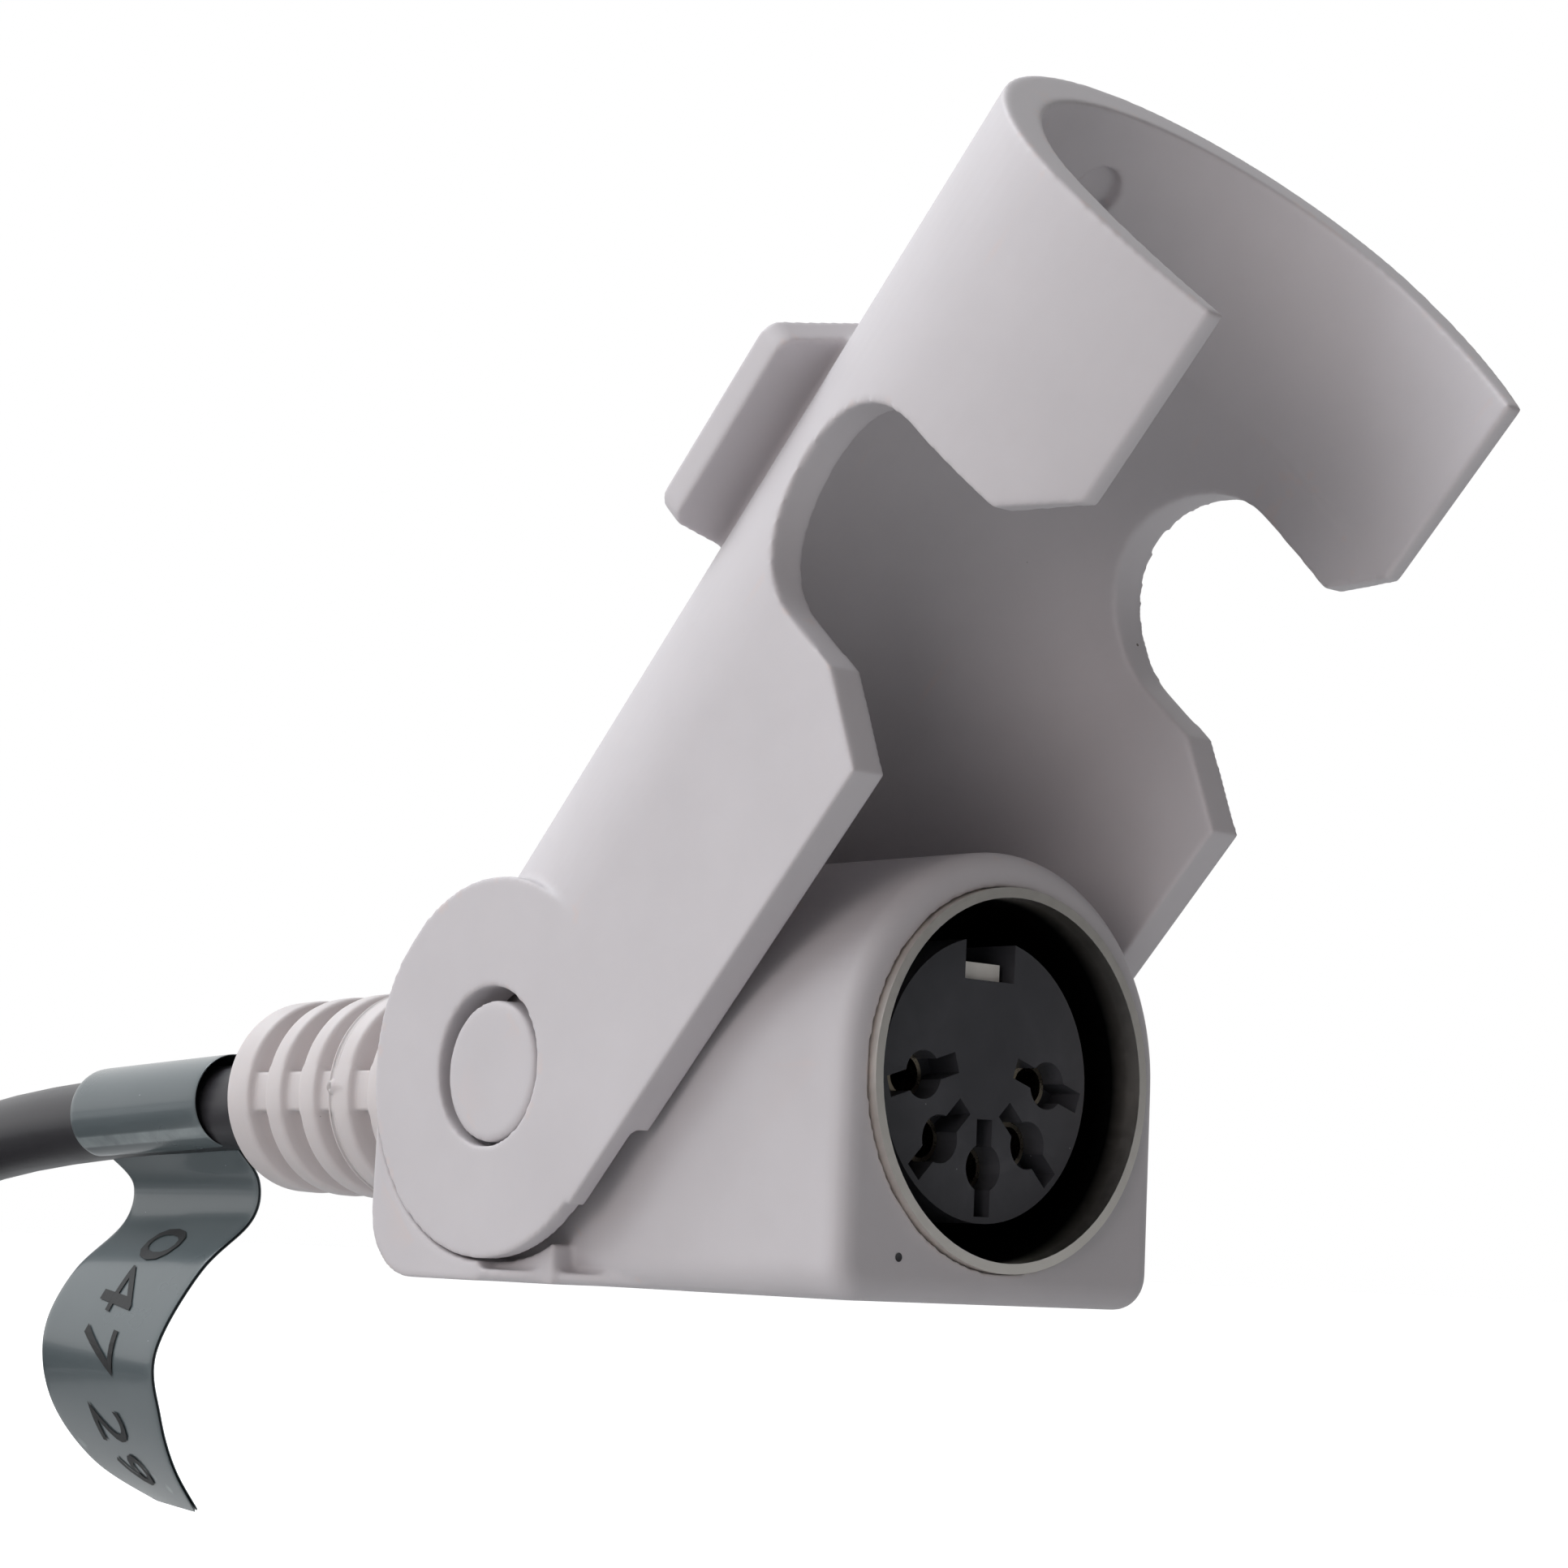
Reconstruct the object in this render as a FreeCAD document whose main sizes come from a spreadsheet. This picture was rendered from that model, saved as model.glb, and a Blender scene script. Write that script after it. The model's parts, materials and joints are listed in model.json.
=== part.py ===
import FreeCAD, Part
import math
import os
import Sketcher

# Cable-end five-pole socket with a swinging plug clip, its ribbed boot, flag label and lead.
# Frame: origin at the centre of the socket mouth, +X out of the mouth, +Z up, millimetres.

V = FreeCAD.Vector
os.makedirs("parts", exist_ok=True)
doc = FreeCAD.newDocument("LockingCableSocket")
nodes = []

sizes = {
    # moulded housing
    "housingHalfWidth": 8.68,
    "housingLength": 27.04,
    "housingFloor": 8.73,
    "crownLift": 0.25,
    "frontRound": 0.9,
    "footRound": 1.4,
    "heelRound": 2.8,
    "seatRadius": 5.6,
    "seatDepth": 4.0,
    "overcut": 2.0,
    # swinging clip
    "pivotBack": 19.39,
    "pinRadius": 2.9,
    "pinShift": 0.21,
    "pinShort": 0.05,
    "holeRadius": 3.28,
    "earRadius": 7.82,
    "channelRadius": 10.8,
    "channelWall": 1.63,
    "earWall": 0.9,
    "reliefRadius": 9.0,
    "channelStart": 2.4,
    "armDrop": 8.05,
    "armReach": 22.5,
    "kneeReach": 24.35,
    "kneeDrop": 4.15,
    "waistMiddle": 28.75,
    "waistRadius": 4.5,
    "waistSink": 0.8,
    "lobeKneeDrop": 5.8,
    "lobeReach": 35.7,
    "clipLength": 44.0,
    "lobeDrop": 8.55,
    "lobeHalfWidth": 8.95,
    "lobeWall": 0.85,
    "collarStart": 35.5,
    "collarRadius": 9.35,
    "collarSink": 0.5,
    "throatLip": 0.12,
    "openAngle": 46.3,
    "tabUnder": 8.6,
    "tabThick": 1.4,
    "tabHalfWidth": 9.8,
    "tabStart": 20.9,
    "tabFinish": 31.95,
    "tabTaper": 0.85,
    "tabRound": 0.9,
    "tabSink": 1.2,
    "dimpleRadius": 1.1,
    "dimpleReach": 40.6,
    "dimpleAside": 0.8,
    "dimpleDeep": 0.6,
    "cheekHalfWidth": 10.7,
    "cheekGap": 0.1,
    "lipHalfWidth": 9.75,
    "lipRun": 3.7,
    # socket insert
    "shellRadius": 7.5,
    "shellWall": 0.4,
    "shellProud": 0.35,
    "discRadius": 5.6,
    "discRecess": 1.28,
    "discDepth": 10.6,
    "flangeThick": 1.6,
    "keyHalfWidth": 1.37,
    "keyFloor": 3.9,
    "contactCircle": 3.43,
    "chamberRadius": 0.95,
    "slotHalfWidth": 0.42,
    "slotHalfLength": 1.9,
    "slotDepth": 1.6,
    "contactRadius": 0.93,
    "contactBore": 0.74,
    "contactInset": 1.1,
    "contactFloor": 1.4,
    "tailRadius": 0.45,
    "tailLength": 2.2,
    "springThick": 0.7,
    "springInset": 0.5,
    "springSide": 0.35,
    "capThick": 1.4,
    "cavityRadius": 6.3,
    "cavityDepth": 21.6,
    # boot, lead and label
    "cordDrop": 0.5,
    "cordRadius": 2.15,
    "ferruleLength": 3.4,
    "ferruleWall": 0.45,
    "spigotRadius": 3.6,
    "spigotLength": 1.6,
    "bootLength": 21.4,
    "bootRootRadius": 5.35,
    "bootEndRadius": 4.6,
    "bootBoreGap": 0.14,
    "bootEndRound": 0.7,
    "grooveFirst": 2.25,
    "grooveWidth": 1.2,
    "groovePitch": 2.9,
    "grooveFloor": 3.45,
    "webHalfHeight": 1.05,
    "wireRadius": 0.45,
    "wireGap": 0.2,
    "coreRing": 1.3,
    "labelStart": 54.2,
    "labelWidth": 12.2,
    "labelGap": 0.12,
    "labelThick": 0.2,
    "flagStart": 53.9,
    "flagWidth": 11.8,
    # coil and far plug
    "coilRadius": 21.5,
    "coilMiddleX": 121.0,
    "coilMiddleY": 14.8,
    "coilStub": 20.0,
    "entryStub": 10.0,
    "entrySlope": 25.0,
    "entryRun": 21.0,
    "levelRun": 55.0,
    "restLevel": 23.0,
    "tieWidth": 4.0,
    "tieThick": 0.8,
    "tieGap": 0.15,
    "plugShellRadius": 6.6,
    "plugShellLength": 9.5,
    "plugInsertThick": 1.6,
    "plugPinRadius": 0.72,
    "plugPinLength": 6.4,
    "plugGripRadius": 8.6,
    "plugGripLength": 17.0,
    "plugBootLength": 19.0,
    "plugBootRadius": 4.6,
    "plugNeck": 1.5,
    "plugTailWall": 0.8,
    "keySlot": 1.6,
    "gripRingWidth": 1.2,
    "gripRingPitch": 3.0,
    "gripRingDeep": 0.6,
    "fitGap": 0.02,
}

sheet = doc.addObject("Spreadsheet::Sheet", "Sizes")
for row, (alias, number) in enumerate(sizes.items(), start=1):
    sheet.set("A%d" % row, alias)
    sheet.set("B%d" % row, str(number))
    sheet.setAlias("B%d" % row, alias)
doc.recompute()


def ref(expression):
    """An expression over the sheet's aliases, with the sheet's name put before each of them."""
    words = []
    word = ""
    for letter in str(expression) + " ":
        if letter.isalnum() or letter == "_":
            word += letter
            continue
        words.append("Sizes." + word if word in sizes else word)
        words.append(letter)
        word = ""
    return "".join(words).strip()


def value(expression):
    found = sheet.evalExpression(ref(expression))
    return float(getattr(found, "Value", found))


# ---------------------------------------------------------------- sketch bodies
def makeBody(label):
    body = doc.addObject("PartDesign::Body", label)
    body.Label = label
    return body


def makeSketch(body, role, name, offset="0"):
    sketch = body.newObject("Sketcher::SketchObject", name)
    plane = [item for item in body.Origin.OriginFeatures if item.Role == role][0]
    sketch.AttachmentSupport = (plane, [""])
    sketch.MapMode = "FlatFace"
    sketch.setExpression(".AttachmentOffset.Base.z", ref(offset))
    return sketch


def bindPlace(sketch, geometry, end, x, y):
    for kind, expression in (("DistanceX", x), ("DistanceY", y)):
        rule = Sketcher.Constraint(kind, -1, 1, geometry, end, value(expression))
        index = sketch.addConstraint(rule)
        sketch.setExpression("Constraints[%d]" % index, ref(expression))


def addStretch(sketch, start, finish, arc):
    """One edge of an outline. An arc is (centre x, centre y, "ccw" or "cw")."""
    if not arc:
        return sketch.addGeometry(Part.LineSegment(start, finish)), 1, 2
    middle = V(value(arc[0]), value(arc[1]), 0)
    first, last = (start, finish) if arc[2] == "ccw" else (finish, start)
    begin = math.atan2(first.y - middle.y, first.x - middle.x)
    stop = math.atan2(last.y - middle.y, last.x - middle.x)
    if stop < begin:
        stop += 2 * math.pi
    circle = Part.Circle(middle, V(0, 0, 1), (start - middle).Length)
    index = sketch.addGeometry(Part.ArcOfCircle(circle, begin, stop))
    chord = finish - start
    if abs(chord.x) > abs(chord.y):
        kind, expression = "DistanceY", arc[1]
    else:
        kind, expression = "DistanceX", arc[0]
    rule = sketch.addConstraint(Sketcher.Constraint(kind, -1, 1, index, 3, value(expression)))
    sketch.setExpression("Constraints[%d]" % rule, ref(expression))
    return (index, 1, 2) if arc[2] == "ccw" else (index, 2, 1)


def addOutline(sketch, corners):
    """A closed outline from corners (x, y), each with the arc that leaves it where there is one."""
    places = [V(value(corner[0]), value(corner[1]), 0) for corner in corners]
    edges = []
    for index, corner in enumerate(corners):
        finish = places[(index + 1) % len(places)]
        edges.append(addStretch(sketch, places[index], finish, corner[2:]))
    for index, (geometry, _, tail) in enumerate(edges):
        following, head, _ = edges[(index + 1) % len(edges)]
        sketch.addConstraint(Sketcher.Constraint("Coincident", geometry, tail, following, head))
    for corner, (geometry, head, _) in zip(corners, edges):
        bindPlace(sketch, geometry, head, corner[0], corner[1])


def addCircle(sketch, x, y, radius):
    middle = V(value(x), value(y), 0)
    index = sketch.addGeometry(Part.Circle(middle, V(0, 0, 1), value(radius)))
    bindPlace(sketch, index, 3, x, y)
    rule = sketch.addConstraint(Sketcher.Constraint("Radius", index, value(radius)))
    sketch.setExpression("Constraints[%d]" % rule, ref(radius))


def addPad(body, sketch, length, symmetric=False):
    pad = body.newObject("PartDesign::Pad", sketch.Name + "Pad")
    pad.Profile = sketch
    pad.SideType = "Symmetric" if symmetric else "One side"
    pad.setExpression("Length", ref(length))
    doc.recompute()
    return pad


def addPocket(body, sketch, length, symmetric=False, reverse=False):
    before = body.Shape.Volume
    pocket = body.newObject("PartDesign::Pocket", sketch.Name + "Pocket")
    pocket.Profile = sketch
    pocket.SideType = "Symmetric" if symmetric else "One side"
    pocket.Reversed = reverse
    pocket.setExpression("Length", ref(length))
    doc.recompute()
    if body.Shape.Volume > before - 1e-6:
        raise ValueError("pocket cuts nothing: %s %s %s" % (sketch.Name, sketch.State, pocket.State))
    return pocket


def roundEdges(body, name, radius, chosen):
    base = body.Tip
    names = []
    for index, edge in enumerate(base.Shape.Edges, start=1):
        if chosen(edge):
            names.append("Edge%d" % index)
    rounded = body.newObject("PartDesign::Fillet", name)
    rounded.Base = (base, names)
    rounded.setExpression("Radius", ref(radius))
    doc.recompute()
    return rounded


# ---------------------------------------------------------------- part solids
def placeAt(item, base, rotation=None):
    item.Placement = FreeCAD.Placement(V(0, 0, 0), rotation or FreeCAD.Rotation())
    for axis, expression in zip("xyz", base):
        item.setExpression(".Placement.Base." + axis, ref(expression))
    return item


def turned(axis):
    return FreeCAD.Rotation(V(0, 0, 1), axis)


def makeCylinder(name, radius, length, base, axis=V(1, 0, 0)):
    item = doc.addObject("Part::Cylinder", name)
    item.setExpression("Radius", ref(radius))
    item.setExpression("Height", ref(length))
    return placeAt(item, base, turned(axis))


def makeCone(name, radiusLow, radiusHigh, length, base, axis=V(1, 0, 0)):
    item = doc.addObject("Part::Cone", name)
    item.setExpression("Radius1", ref(radiusLow))
    item.setExpression("Radius2", ref(radiusHigh))
    item.setExpression("Height", ref(length))
    return placeAt(item, base, turned(axis))


def makeBox(name, spans, corner, rotation=None):
    item = doc.addObject("Part::Box", name)
    for side, expression in zip(("Length", "Width", "Height"), spans):
        item.setExpression(side, ref(expression))
    return placeAt(item, corner, rotation)


def makeCut(name, base, tool):
    item = doc.addObject("Part::Cut", name)
    item.Base = base
    item.Tool = tool
    return item


def makeFuse(name, pieces):
    item = doc.addObject("Part::MultiFuse", name)
    item.Shapes = pieces
    return item


def keepNode(item, label):
    item.Label = label
    nodes.append((label, item))
    return item


# ---------------------------------------------------------------- housing
def makeHousing():
    body = makeBody("housing")
    section = makeSketch(body, "YZ_Plane", "HousingSection", "-pivotBack")
    addOutline(section, [
        ("-housingHalfWidth", "-housingFloor"),
        ("housingHalfWidth", "-housingFloor"),
        ("housingHalfWidth", "crownLift", "0", "crownLift", "ccw"),
        ("-housingHalfWidth", "crownLift"),
    ])
    addPad(body, section, "pivotBack")
    def footEdge(edge):
        box = edge.BoundBox
        low = abs(box.ZMax + value("housingFloor")) < 0.01
        return low and box.XLength > 1 and box.YLength < 0.01
    roundEdges(body, "FootRound", "footRound", footEdge)

    # heel: the crown's section turned about the pivot, so the clip's channel sweeps clear of it
    crown = makeSketch(body, "YZ_Plane", "HousingCrown", "-pivotBack")
    addOutline(crown, [
        ("-housingHalfWidth", "0"),
        ("housingHalfWidth", "0"),
        ("housingHalfWidth", "crownLift", "0", "crownLift", "ccw"),
        ("-housingHalfWidth", "crownLift"),
    ])
    heel = body.newObject("PartDesign::Revolution", "HousingHeel")
    heel.Profile = crown
    heel.ReferenceAxis = (crown, ["H_Axis"])
    heel.Angle = 180
    heel.Reversed = True
    doc.recompute()
    high = "(housingHalfWidth + crownLift + overcut)"
    behind = makeSketch(body, "XZ_Plane", "HousingBehind")
    addOutline(behind, [
        ("-housingLength - 2 * overcut", "-housingFloor - overcut"),
        ("-pivotBack", "-housingFloor - overcut"),
        ("-pivotBack", "-housingFloor"),
        ("-housingLength", "-housingFloor"),
        ("-housingLength", high),
        ("-housingLength - 2 * overcut", high),
    ])
    addPocket(body, behind, "4 * housingHalfWidth", symmetric=True)
    seat = makeSketch(body, "YZ_Plane", "BootSeat", "-housingLength")
    addCircle(seat, "0", "-cordDrop", "seatRadius")
    addPad(body, seat, "seatDepth")

    cheekRadius = "(earRadius + cheekGap)"
    cheek = makeSketch(body, "XZ_Plane", "HousingCheek")
    cheekBack = "(housingLength - pivotBack)"
    addOutline(cheek, [
        ("-housingLength", "-housingFloor + heelRound", "-housingLength + heelRound",
         "-housingFloor + heelRound", "ccw"),
        ("-housingLength + heelRound", "-housingFloor"),
        ("-pivotBack", "-housingFloor"),
        ("-pivotBack", "-" + cheekRadius, "-pivotBack", "0", "cw"),
        ("-housingLength", "-sqrt(%s ^ 2 - %s ^ 2)" % (cheekRadius, cheekBack)),
    ])
    addPad(body, cheek, "2 * cheekHalfWidth", symmetric=True)
    lip = makeSketch(body, "XZ_Plane", "HousingLip")
    addOutline(lip, [
        ("-pivotBack", "-housingFloor"),
        ("-pivotBack + lipRun", "-housingFloor"),
        ("-pivotBack + lipRun", "-sqrt(%s ^ 2 - lipRun ^ 2)" % cheekRadius,
         "-pivotBack", "0", "cw"),
        ("-pivotBack", "-" + cheekRadius),
    ])
    addPad(body, lip, "2 * lipHalfWidth", symmetric=True)

    corner = makeSketch(body, "XZ_Plane", "HousingCorner")
    addOutline(corner, [
        ("-housingLength - overcut", "-housingFloor + heelRound"),
        ("-housingLength", "-housingFloor + heelRound", "-housingLength + heelRound",
         "-housingFloor + heelRound", "ccw"),
        ("-housingLength + heelRound", "-housingFloor"),
        ("-housingLength + heelRound", "-housingFloor - overcut"),
        ("-housingLength - overcut", "-housingFloor - overcut"),
    ])
    addPocket(body, corner, "4 * housingHalfWidth", symmetric=True)

    pin = makeSketch(body, "XZ_Plane", "HousingPin")
    addCircle(pin, "-pivotBack + pinShift", "-pinShift", "pinRadius")
    addPad(body, pin, "2 * (channelRadius - pinShort)", symmetric=True)

    bore = makeSketch(body, "YZ_Plane", "ShellBore")
    addCircle(bore, "0", "0", "shellRadius + fitGap")
    addPocket(body, bore, shellDepth)
    cavity = makeSketch(body, "YZ_Plane", "RearCavity")
    addCircle(cavity, "0", "0", "cavityRadius")
    addPocket(body, cavity, "cavityDepth")
    ferrule = makeSketch(body, "YZ_Plane", "FerruleBore")
    addCircle(ferrule, "0", "-cordDrop", "cordRadius + ferruleWall + 2 * fitGap")
    addPocket(body, ferrule, "housingLength")
    spigot = makeSketch(body, "YZ_Plane", "SpigotBore", "-housingLength + spigotLength")
    addCircle(spigot, "0", "-cordDrop", "spigotRadius + fitGap")
    addPocket(body, spigot, "spigotLength + overcut")

    def frontEdge(edge):
        box = edge.BoundBox
        onFront = abs(box.XMin) < 0.01 and abs(box.XMax) < 0.01
        return onFront and max(box.YMax, -box.YMin, box.ZMax, -box.ZMin) > value("shellRadius") + 0.5
    roundEdges(body, "FrontRound", "frontRound", frontEdge)
    return keepNode(body, "housing")


# ---------------------------------------------------------------- swinging clip
def armSection(sketch, outer):
    side = "channelRadius" if outer else "(channelRadius - channelWall)"
    drop = "-armDrop - overcut"
    addOutline(sketch, [
        ("-" + side, drop),
        (side, drop),
        (side, "0", "0", "0", "ccw"),
        ("-" + side, "0"),
    ])


def lobeSection(sketch, side, sink, tip):
    """A round back whose sides curve in to the tips; the side arcs leave the back tangentially."""
    rise = "(lobeDrop - %s)" % sink
    inward = "(%s - %s)" % (side, tip)
    sideArc = "((%s ^ 2 + %s ^ 2) / (2 * %s))" % (inward, rise, inward)
    addOutline(sketch, [
        ("-" + tip, "-lobeDrop"),
        (tip, "-lobeDrop", "%s - %s" % (side, sideArc), "-" + sink, "ccw"),
        (side, "-" + sink, "0", "-" + sink, "ccw"),
        ("-" + side, "-" + sink, "%s - %s" % (sideArc, side), "-" + sink, "ccw"),
    ])


def makeClip():
    body = makeBody("locking_clip")
    inner = "(channelRadius - channelWall)"
    arms = makeSketch(body, "YZ_Plane", "ClipArms", "-earRadius - overcut")
    armSection(arms, True)
    addPad(body, arms, "earRadius + overcut + waistMiddle")
    lobes = makeSketch(body, "YZ_Plane", "ClipLobes", "waistMiddle")
    lobeSection(lobes, "channelRadius", "0", "lobeHalfWidth")
    addPad(body, lobes, "clipLength - waistMiddle")

    channel = makeSketch(body, "YZ_Plane", "ClipChannel", "-earRadius - 2 * overcut")
    armSection(channel, False)
    addPocket(body, channel, "earRadius + 2 * overcut + waistMiddle", reverse=True)
    throat = makeSketch(body, "YZ_Plane", "ClipThroat", "waistMiddle")
    lobeSection(throat, inner, "0", "(lobeHalfWidth - lobeWall + throatLip)")
    addPocket(body, throat, "collarStart - waistMiddle", reverse=True)
    collar = makeSketch(body, "YZ_Plane", "ClipCollar", "collarStart")
    lobeSection(collar, "collarRadius", "collarSink", "(lobeHalfWidth - lobeWall)")
    addPocket(body, collar, "clipLength - collarStart + overcut", reverse=True)

    far = "(channelRadius + overcut)"
    side = makeSketch(body, "XZ_Plane", "ClipOutline")
    waistFar = "waistMiddle + waistRadius"
    addOutline(side, [
        ("0", "-armDrop"),
        ("armReach", "-armDrop"),
        ("kneeReach", "-kneeDrop"),
        ("waistMiddle - waistRadius", "-waistSink", "waistMiddle", "-waistSink", "cw"),
        (waistFar, "-waistSink"),
        (waistFar, "-lobeKneeDrop"),
        ("lobeReach", "-lobeDrop"),
        ("lobeReach", "-" + far),
        ("0", "-" + far),
    ])
    addPocket(body, side, "4 * channelRadius", symmetric=True)
    back = makeSketch(body, "XZ_Plane", "ClipBack")
    earTop = "sqrt(earRadius ^ 2 - channelStart ^ 2)"
    addOutline(back, [
        ("channelStart", earTop),
        ("channelStart", far),
        ("-" + far, far),
        ("-" + far, "-" + far),
        ("0", "-" + far),
        ("0", "-earRadius", "0", "0", "cw"),
    ])
    addPocket(body, back, "4 * channelRadius", symmetric=True)

    for name, offset in (("EarNear", "channelRadius - channelWall"), ("EarFar", "-channelRadius")):
        plate = makeSketch(body, "XZ_Plane", name, offset)
        addCircle(plate, "0", "0", "earRadius")
        addPad(body, plate, "channelWall")
    relief = makeSketch(body, "XZ_Plane", "EarRelief")
    addOutline(relief, [
        ("-reliefRadius", "0", "0", "0", "ccw"),
        ("reliefRadius", "0"),
    ])
    addPocket(body, relief, "2 * (channelRadius - earWall)", symmetric=True)
    hole = makeSketch(body, "XZ_Plane", "PinHole")
    addCircle(hole, "0", "0", "holeRadius")
    addPocket(body, hole, "4 * channelRadius", symmetric=True)

    tab = makeSketch(body, "XY_Plane", "ThumbTab", "tabUnder")
    root = "sqrt(channelRadius ^ 2 - tabUnder ^ 2) - tabSink"
    for mirror in ("-", ""):
        corners = [
            ("tabStart", mirror + "(" + root + ")"),
            ("tabStart + tabTaper", mirror + "(tabHalfWidth - tabRound)"),
            ("tabStart + tabTaper + tabRound", mirror + "tabHalfWidth"),
            ("tabFinish - tabTaper - tabRound", mirror + "tabHalfWidth"),
            ("tabFinish - tabTaper", mirror + "(tabHalfWidth - tabRound)"),
            ("tabFinish", mirror + "(" + root + ")"),
        ]
        turn = "ccw" if mirror == "-" else "cw"
        middleY = mirror + "(tabHalfWidth - tabRound)"
        corners[1] += ("tabStart + tabTaper + tabRound", middleY, turn)
        corners[3] += ("tabFinish - tabTaper - tabRound", middleY, turn)
        addOutline(tab, corners)
    addPad(body, tab, "tabThick")
    dimple = makeSketch(body, "XY_Plane", "CollarDimple", "collarRadius - collarSink - overcut")
    addCircle(dimple, "dimpleReach", "dimpleAside", "dimpleRadius")
    addPocket(body, dimple, "overcut + dimpleDeep", reverse=True)

    turn = FreeCAD.Rotation(V(0, 1, 0), -value("openAngle"))
    placeAt(body, ("-pivotBack", "0", "0"), turn)
    return keepNode(body, "locking_clip")


# ---------------------------------------------------------------- socket insert
contactAngles = (180, 225, 270, 315, 0)
slotLean = (18, 0, 0, 0, -18)
shellDepth = "(discRecess + discDepth + capThick + fitGap)"


def onCircle(angle, radius="contactCircle"):
    return ("%s * cos(%d)" % (radius, angle), "%s * sin(%d)" % (radius, angle))


def makeShell():
    body = makeBody("socket_shell")
    ring = makeSketch(body, "YZ_Plane", "ShellRing", "-" + shellDepth)
    addCircle(ring, "0", "0", "shellRadius")
    addCircle(ring, "0", "0", "shellRadius - shellWall")
    addPad(body, ring, shellDepth + " + shellProud")
    return keepNode(body, "socket_shell")


def makeCarrier():
    body = makeBody("contact_carrier")
    disc = makeSketch(body, "YZ_Plane", "CarrierDisc", "-discRecess - discDepth")
    addCircle(disc, "0", "0", "discRadius")
    addPad(body, disc, "discDepth")
    flange = makeSketch(body, "YZ_Plane", "CarrierFlange", "-discRecess - discDepth")
    addCircle(flange, "0", "0", "shellRadius - shellWall - fitGap")
    addPad(body, flange, "flangeThick")
    key = makeSketch(body, "YZ_Plane", "CarrierKey", "-discRecess - discDepth + flangeThick")
    addOutline(key, [
        ("-keyHalfWidth", "keyFloor"),
        ("keyHalfWidth", "keyFloor"),
        ("keyHalfWidth", "discRadius + overcut"),
        ("-keyHalfWidth", "discRadius + overcut"),
    ])
    addPocket(body, key, "discDepth", reverse=True)
    chambers = makeSketch(body, "YZ_Plane", "CarrierChambers", "-discRecess - discDepth")
    for angle in contactAngles:
        addCircle(chambers, *onCircle(angle), "chamberRadius")
    addPocket(body, chambers, "discDepth + overcut", reverse=True)
    slots = makeSketch(body, "YZ_Plane", "CarrierSlots", "-discRecess - slotDepth")
    for angle, lean in zip(contactAngles, slotLean):
        middleY, middleZ = onCircle(angle)
        turn = angle + lean
        corners = []
        for along, across in ((-1, -1), (1, -1), (1, 1), (-1, 1)):
            reach = "(%d * slotHalfLength)" % along
            wide = "(%d * slotHalfWidth)" % across
            corners.append((
                "%s + %s * cos(%d) - %s * sin(%d)" % (middleY, reach, turn, wide, turn),
                "%s + %s * sin(%d) + %s * cos(%d)" % (middleZ, reach, turn, wide, turn),
            ))
        addOutline(slots, corners)
    addPocket(body, slots, "slotDepth + overcut", reverse=True)
    return keepNode(body, "contact_carrier")


def makeCap():
    start = "-discRecess - discDepth"
    base = makeCylinder("CapDisc", "shellRadius - shellWall - fitGap", "capThick",
                        (start + " - capThick", "0", "0"))
    tools = []
    for angle in contactAngles:
        y, z = onCircle(angle)
        tools.append(makeCylinder("CapHole", "tailRadius + fitGap", "capThick",
                                  (start + " - capThick", y, z)))
    return keepNode(makeCut("RearCap", base, makeFuse("CapHoles", tools)), "carrier_cap")


def makeContact(number, angle):
    y, z = onCircle(angle)
    front = "-discRecess - contactInset"
    length = "(discDepth - contactInset)"
    barrel = makeCylinder("Barrel", "contactRadius", length, (front + " - " + length, y, z))
    bore = makeCylinder("ContactBore", "contactBore", length + " - contactFloor",
                        (front + " - " + length + " + contactFloor", y, z))
    tail = makeCylinder("Tail", "tailRadius", "capThick + tailLength",
                        (front + " - " + length + " - capThick - tailLength", y, z))
    hollow = makeCut("BarrelHollow", barrel, bore)
    return keepNode(makeFuse("Contact", [hollow, tail]), "contact_%d" % number)


def makeSpring():
    spring = makeBox("KeySpring", ("discDepth - flangeThick - springInset",
                                   "2 * (keyHalfWidth - springSide)", "springThick"),
                     ("-discRecess - discDepth + flangeThick", "springSide - keyHalfWidth", "keyFloor + fitGap"))
    return keepNode(spring, "shield_spring")


def makeWire(number, angle):
    """A core wire: a straight lead off its contact tail, then a slant in to the cable's core ring."""
    tailEnd = value("-discRecess - discDepth - capThick - tailLength - wireGap")
    y, z = (value(part) for part in onCircle(angle))
    start = V(tailEnd, y, z)
    coreRing = value("coreRing")
    radians = math.radians(angle)
    finish = V(-value("cavityDepth - wireGap"), coreRing * math.cos(radians),
               coreRing * math.sin(radians) - value("cordDrop"))
    along = finish - start
    solid = Part.makeCylinder(value("wireRadius"), along.Length, start, along)
    wire = doc.addObject("Part::Feature", "CoreWire")
    wire.Shape = solid
    return keepNode(wire, "core_wire_%d" % number)


def makeFerrule():
    start = "-cavityDepth - ferruleLength"
    outer = makeCylinder("FerruleOuter", "cordRadius + ferruleWall + fitGap", "ferruleLength",
                         (start, "0", "-cordDrop"))
    inner = makeCylinder("FerruleInner", "cordRadius + fitGap", "ferruleLength",
                         (start, "0", "-cordDrop"))
    return keepNode(makeCut("Ferrule", outer, inner), "crimp_ferrule")


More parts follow.
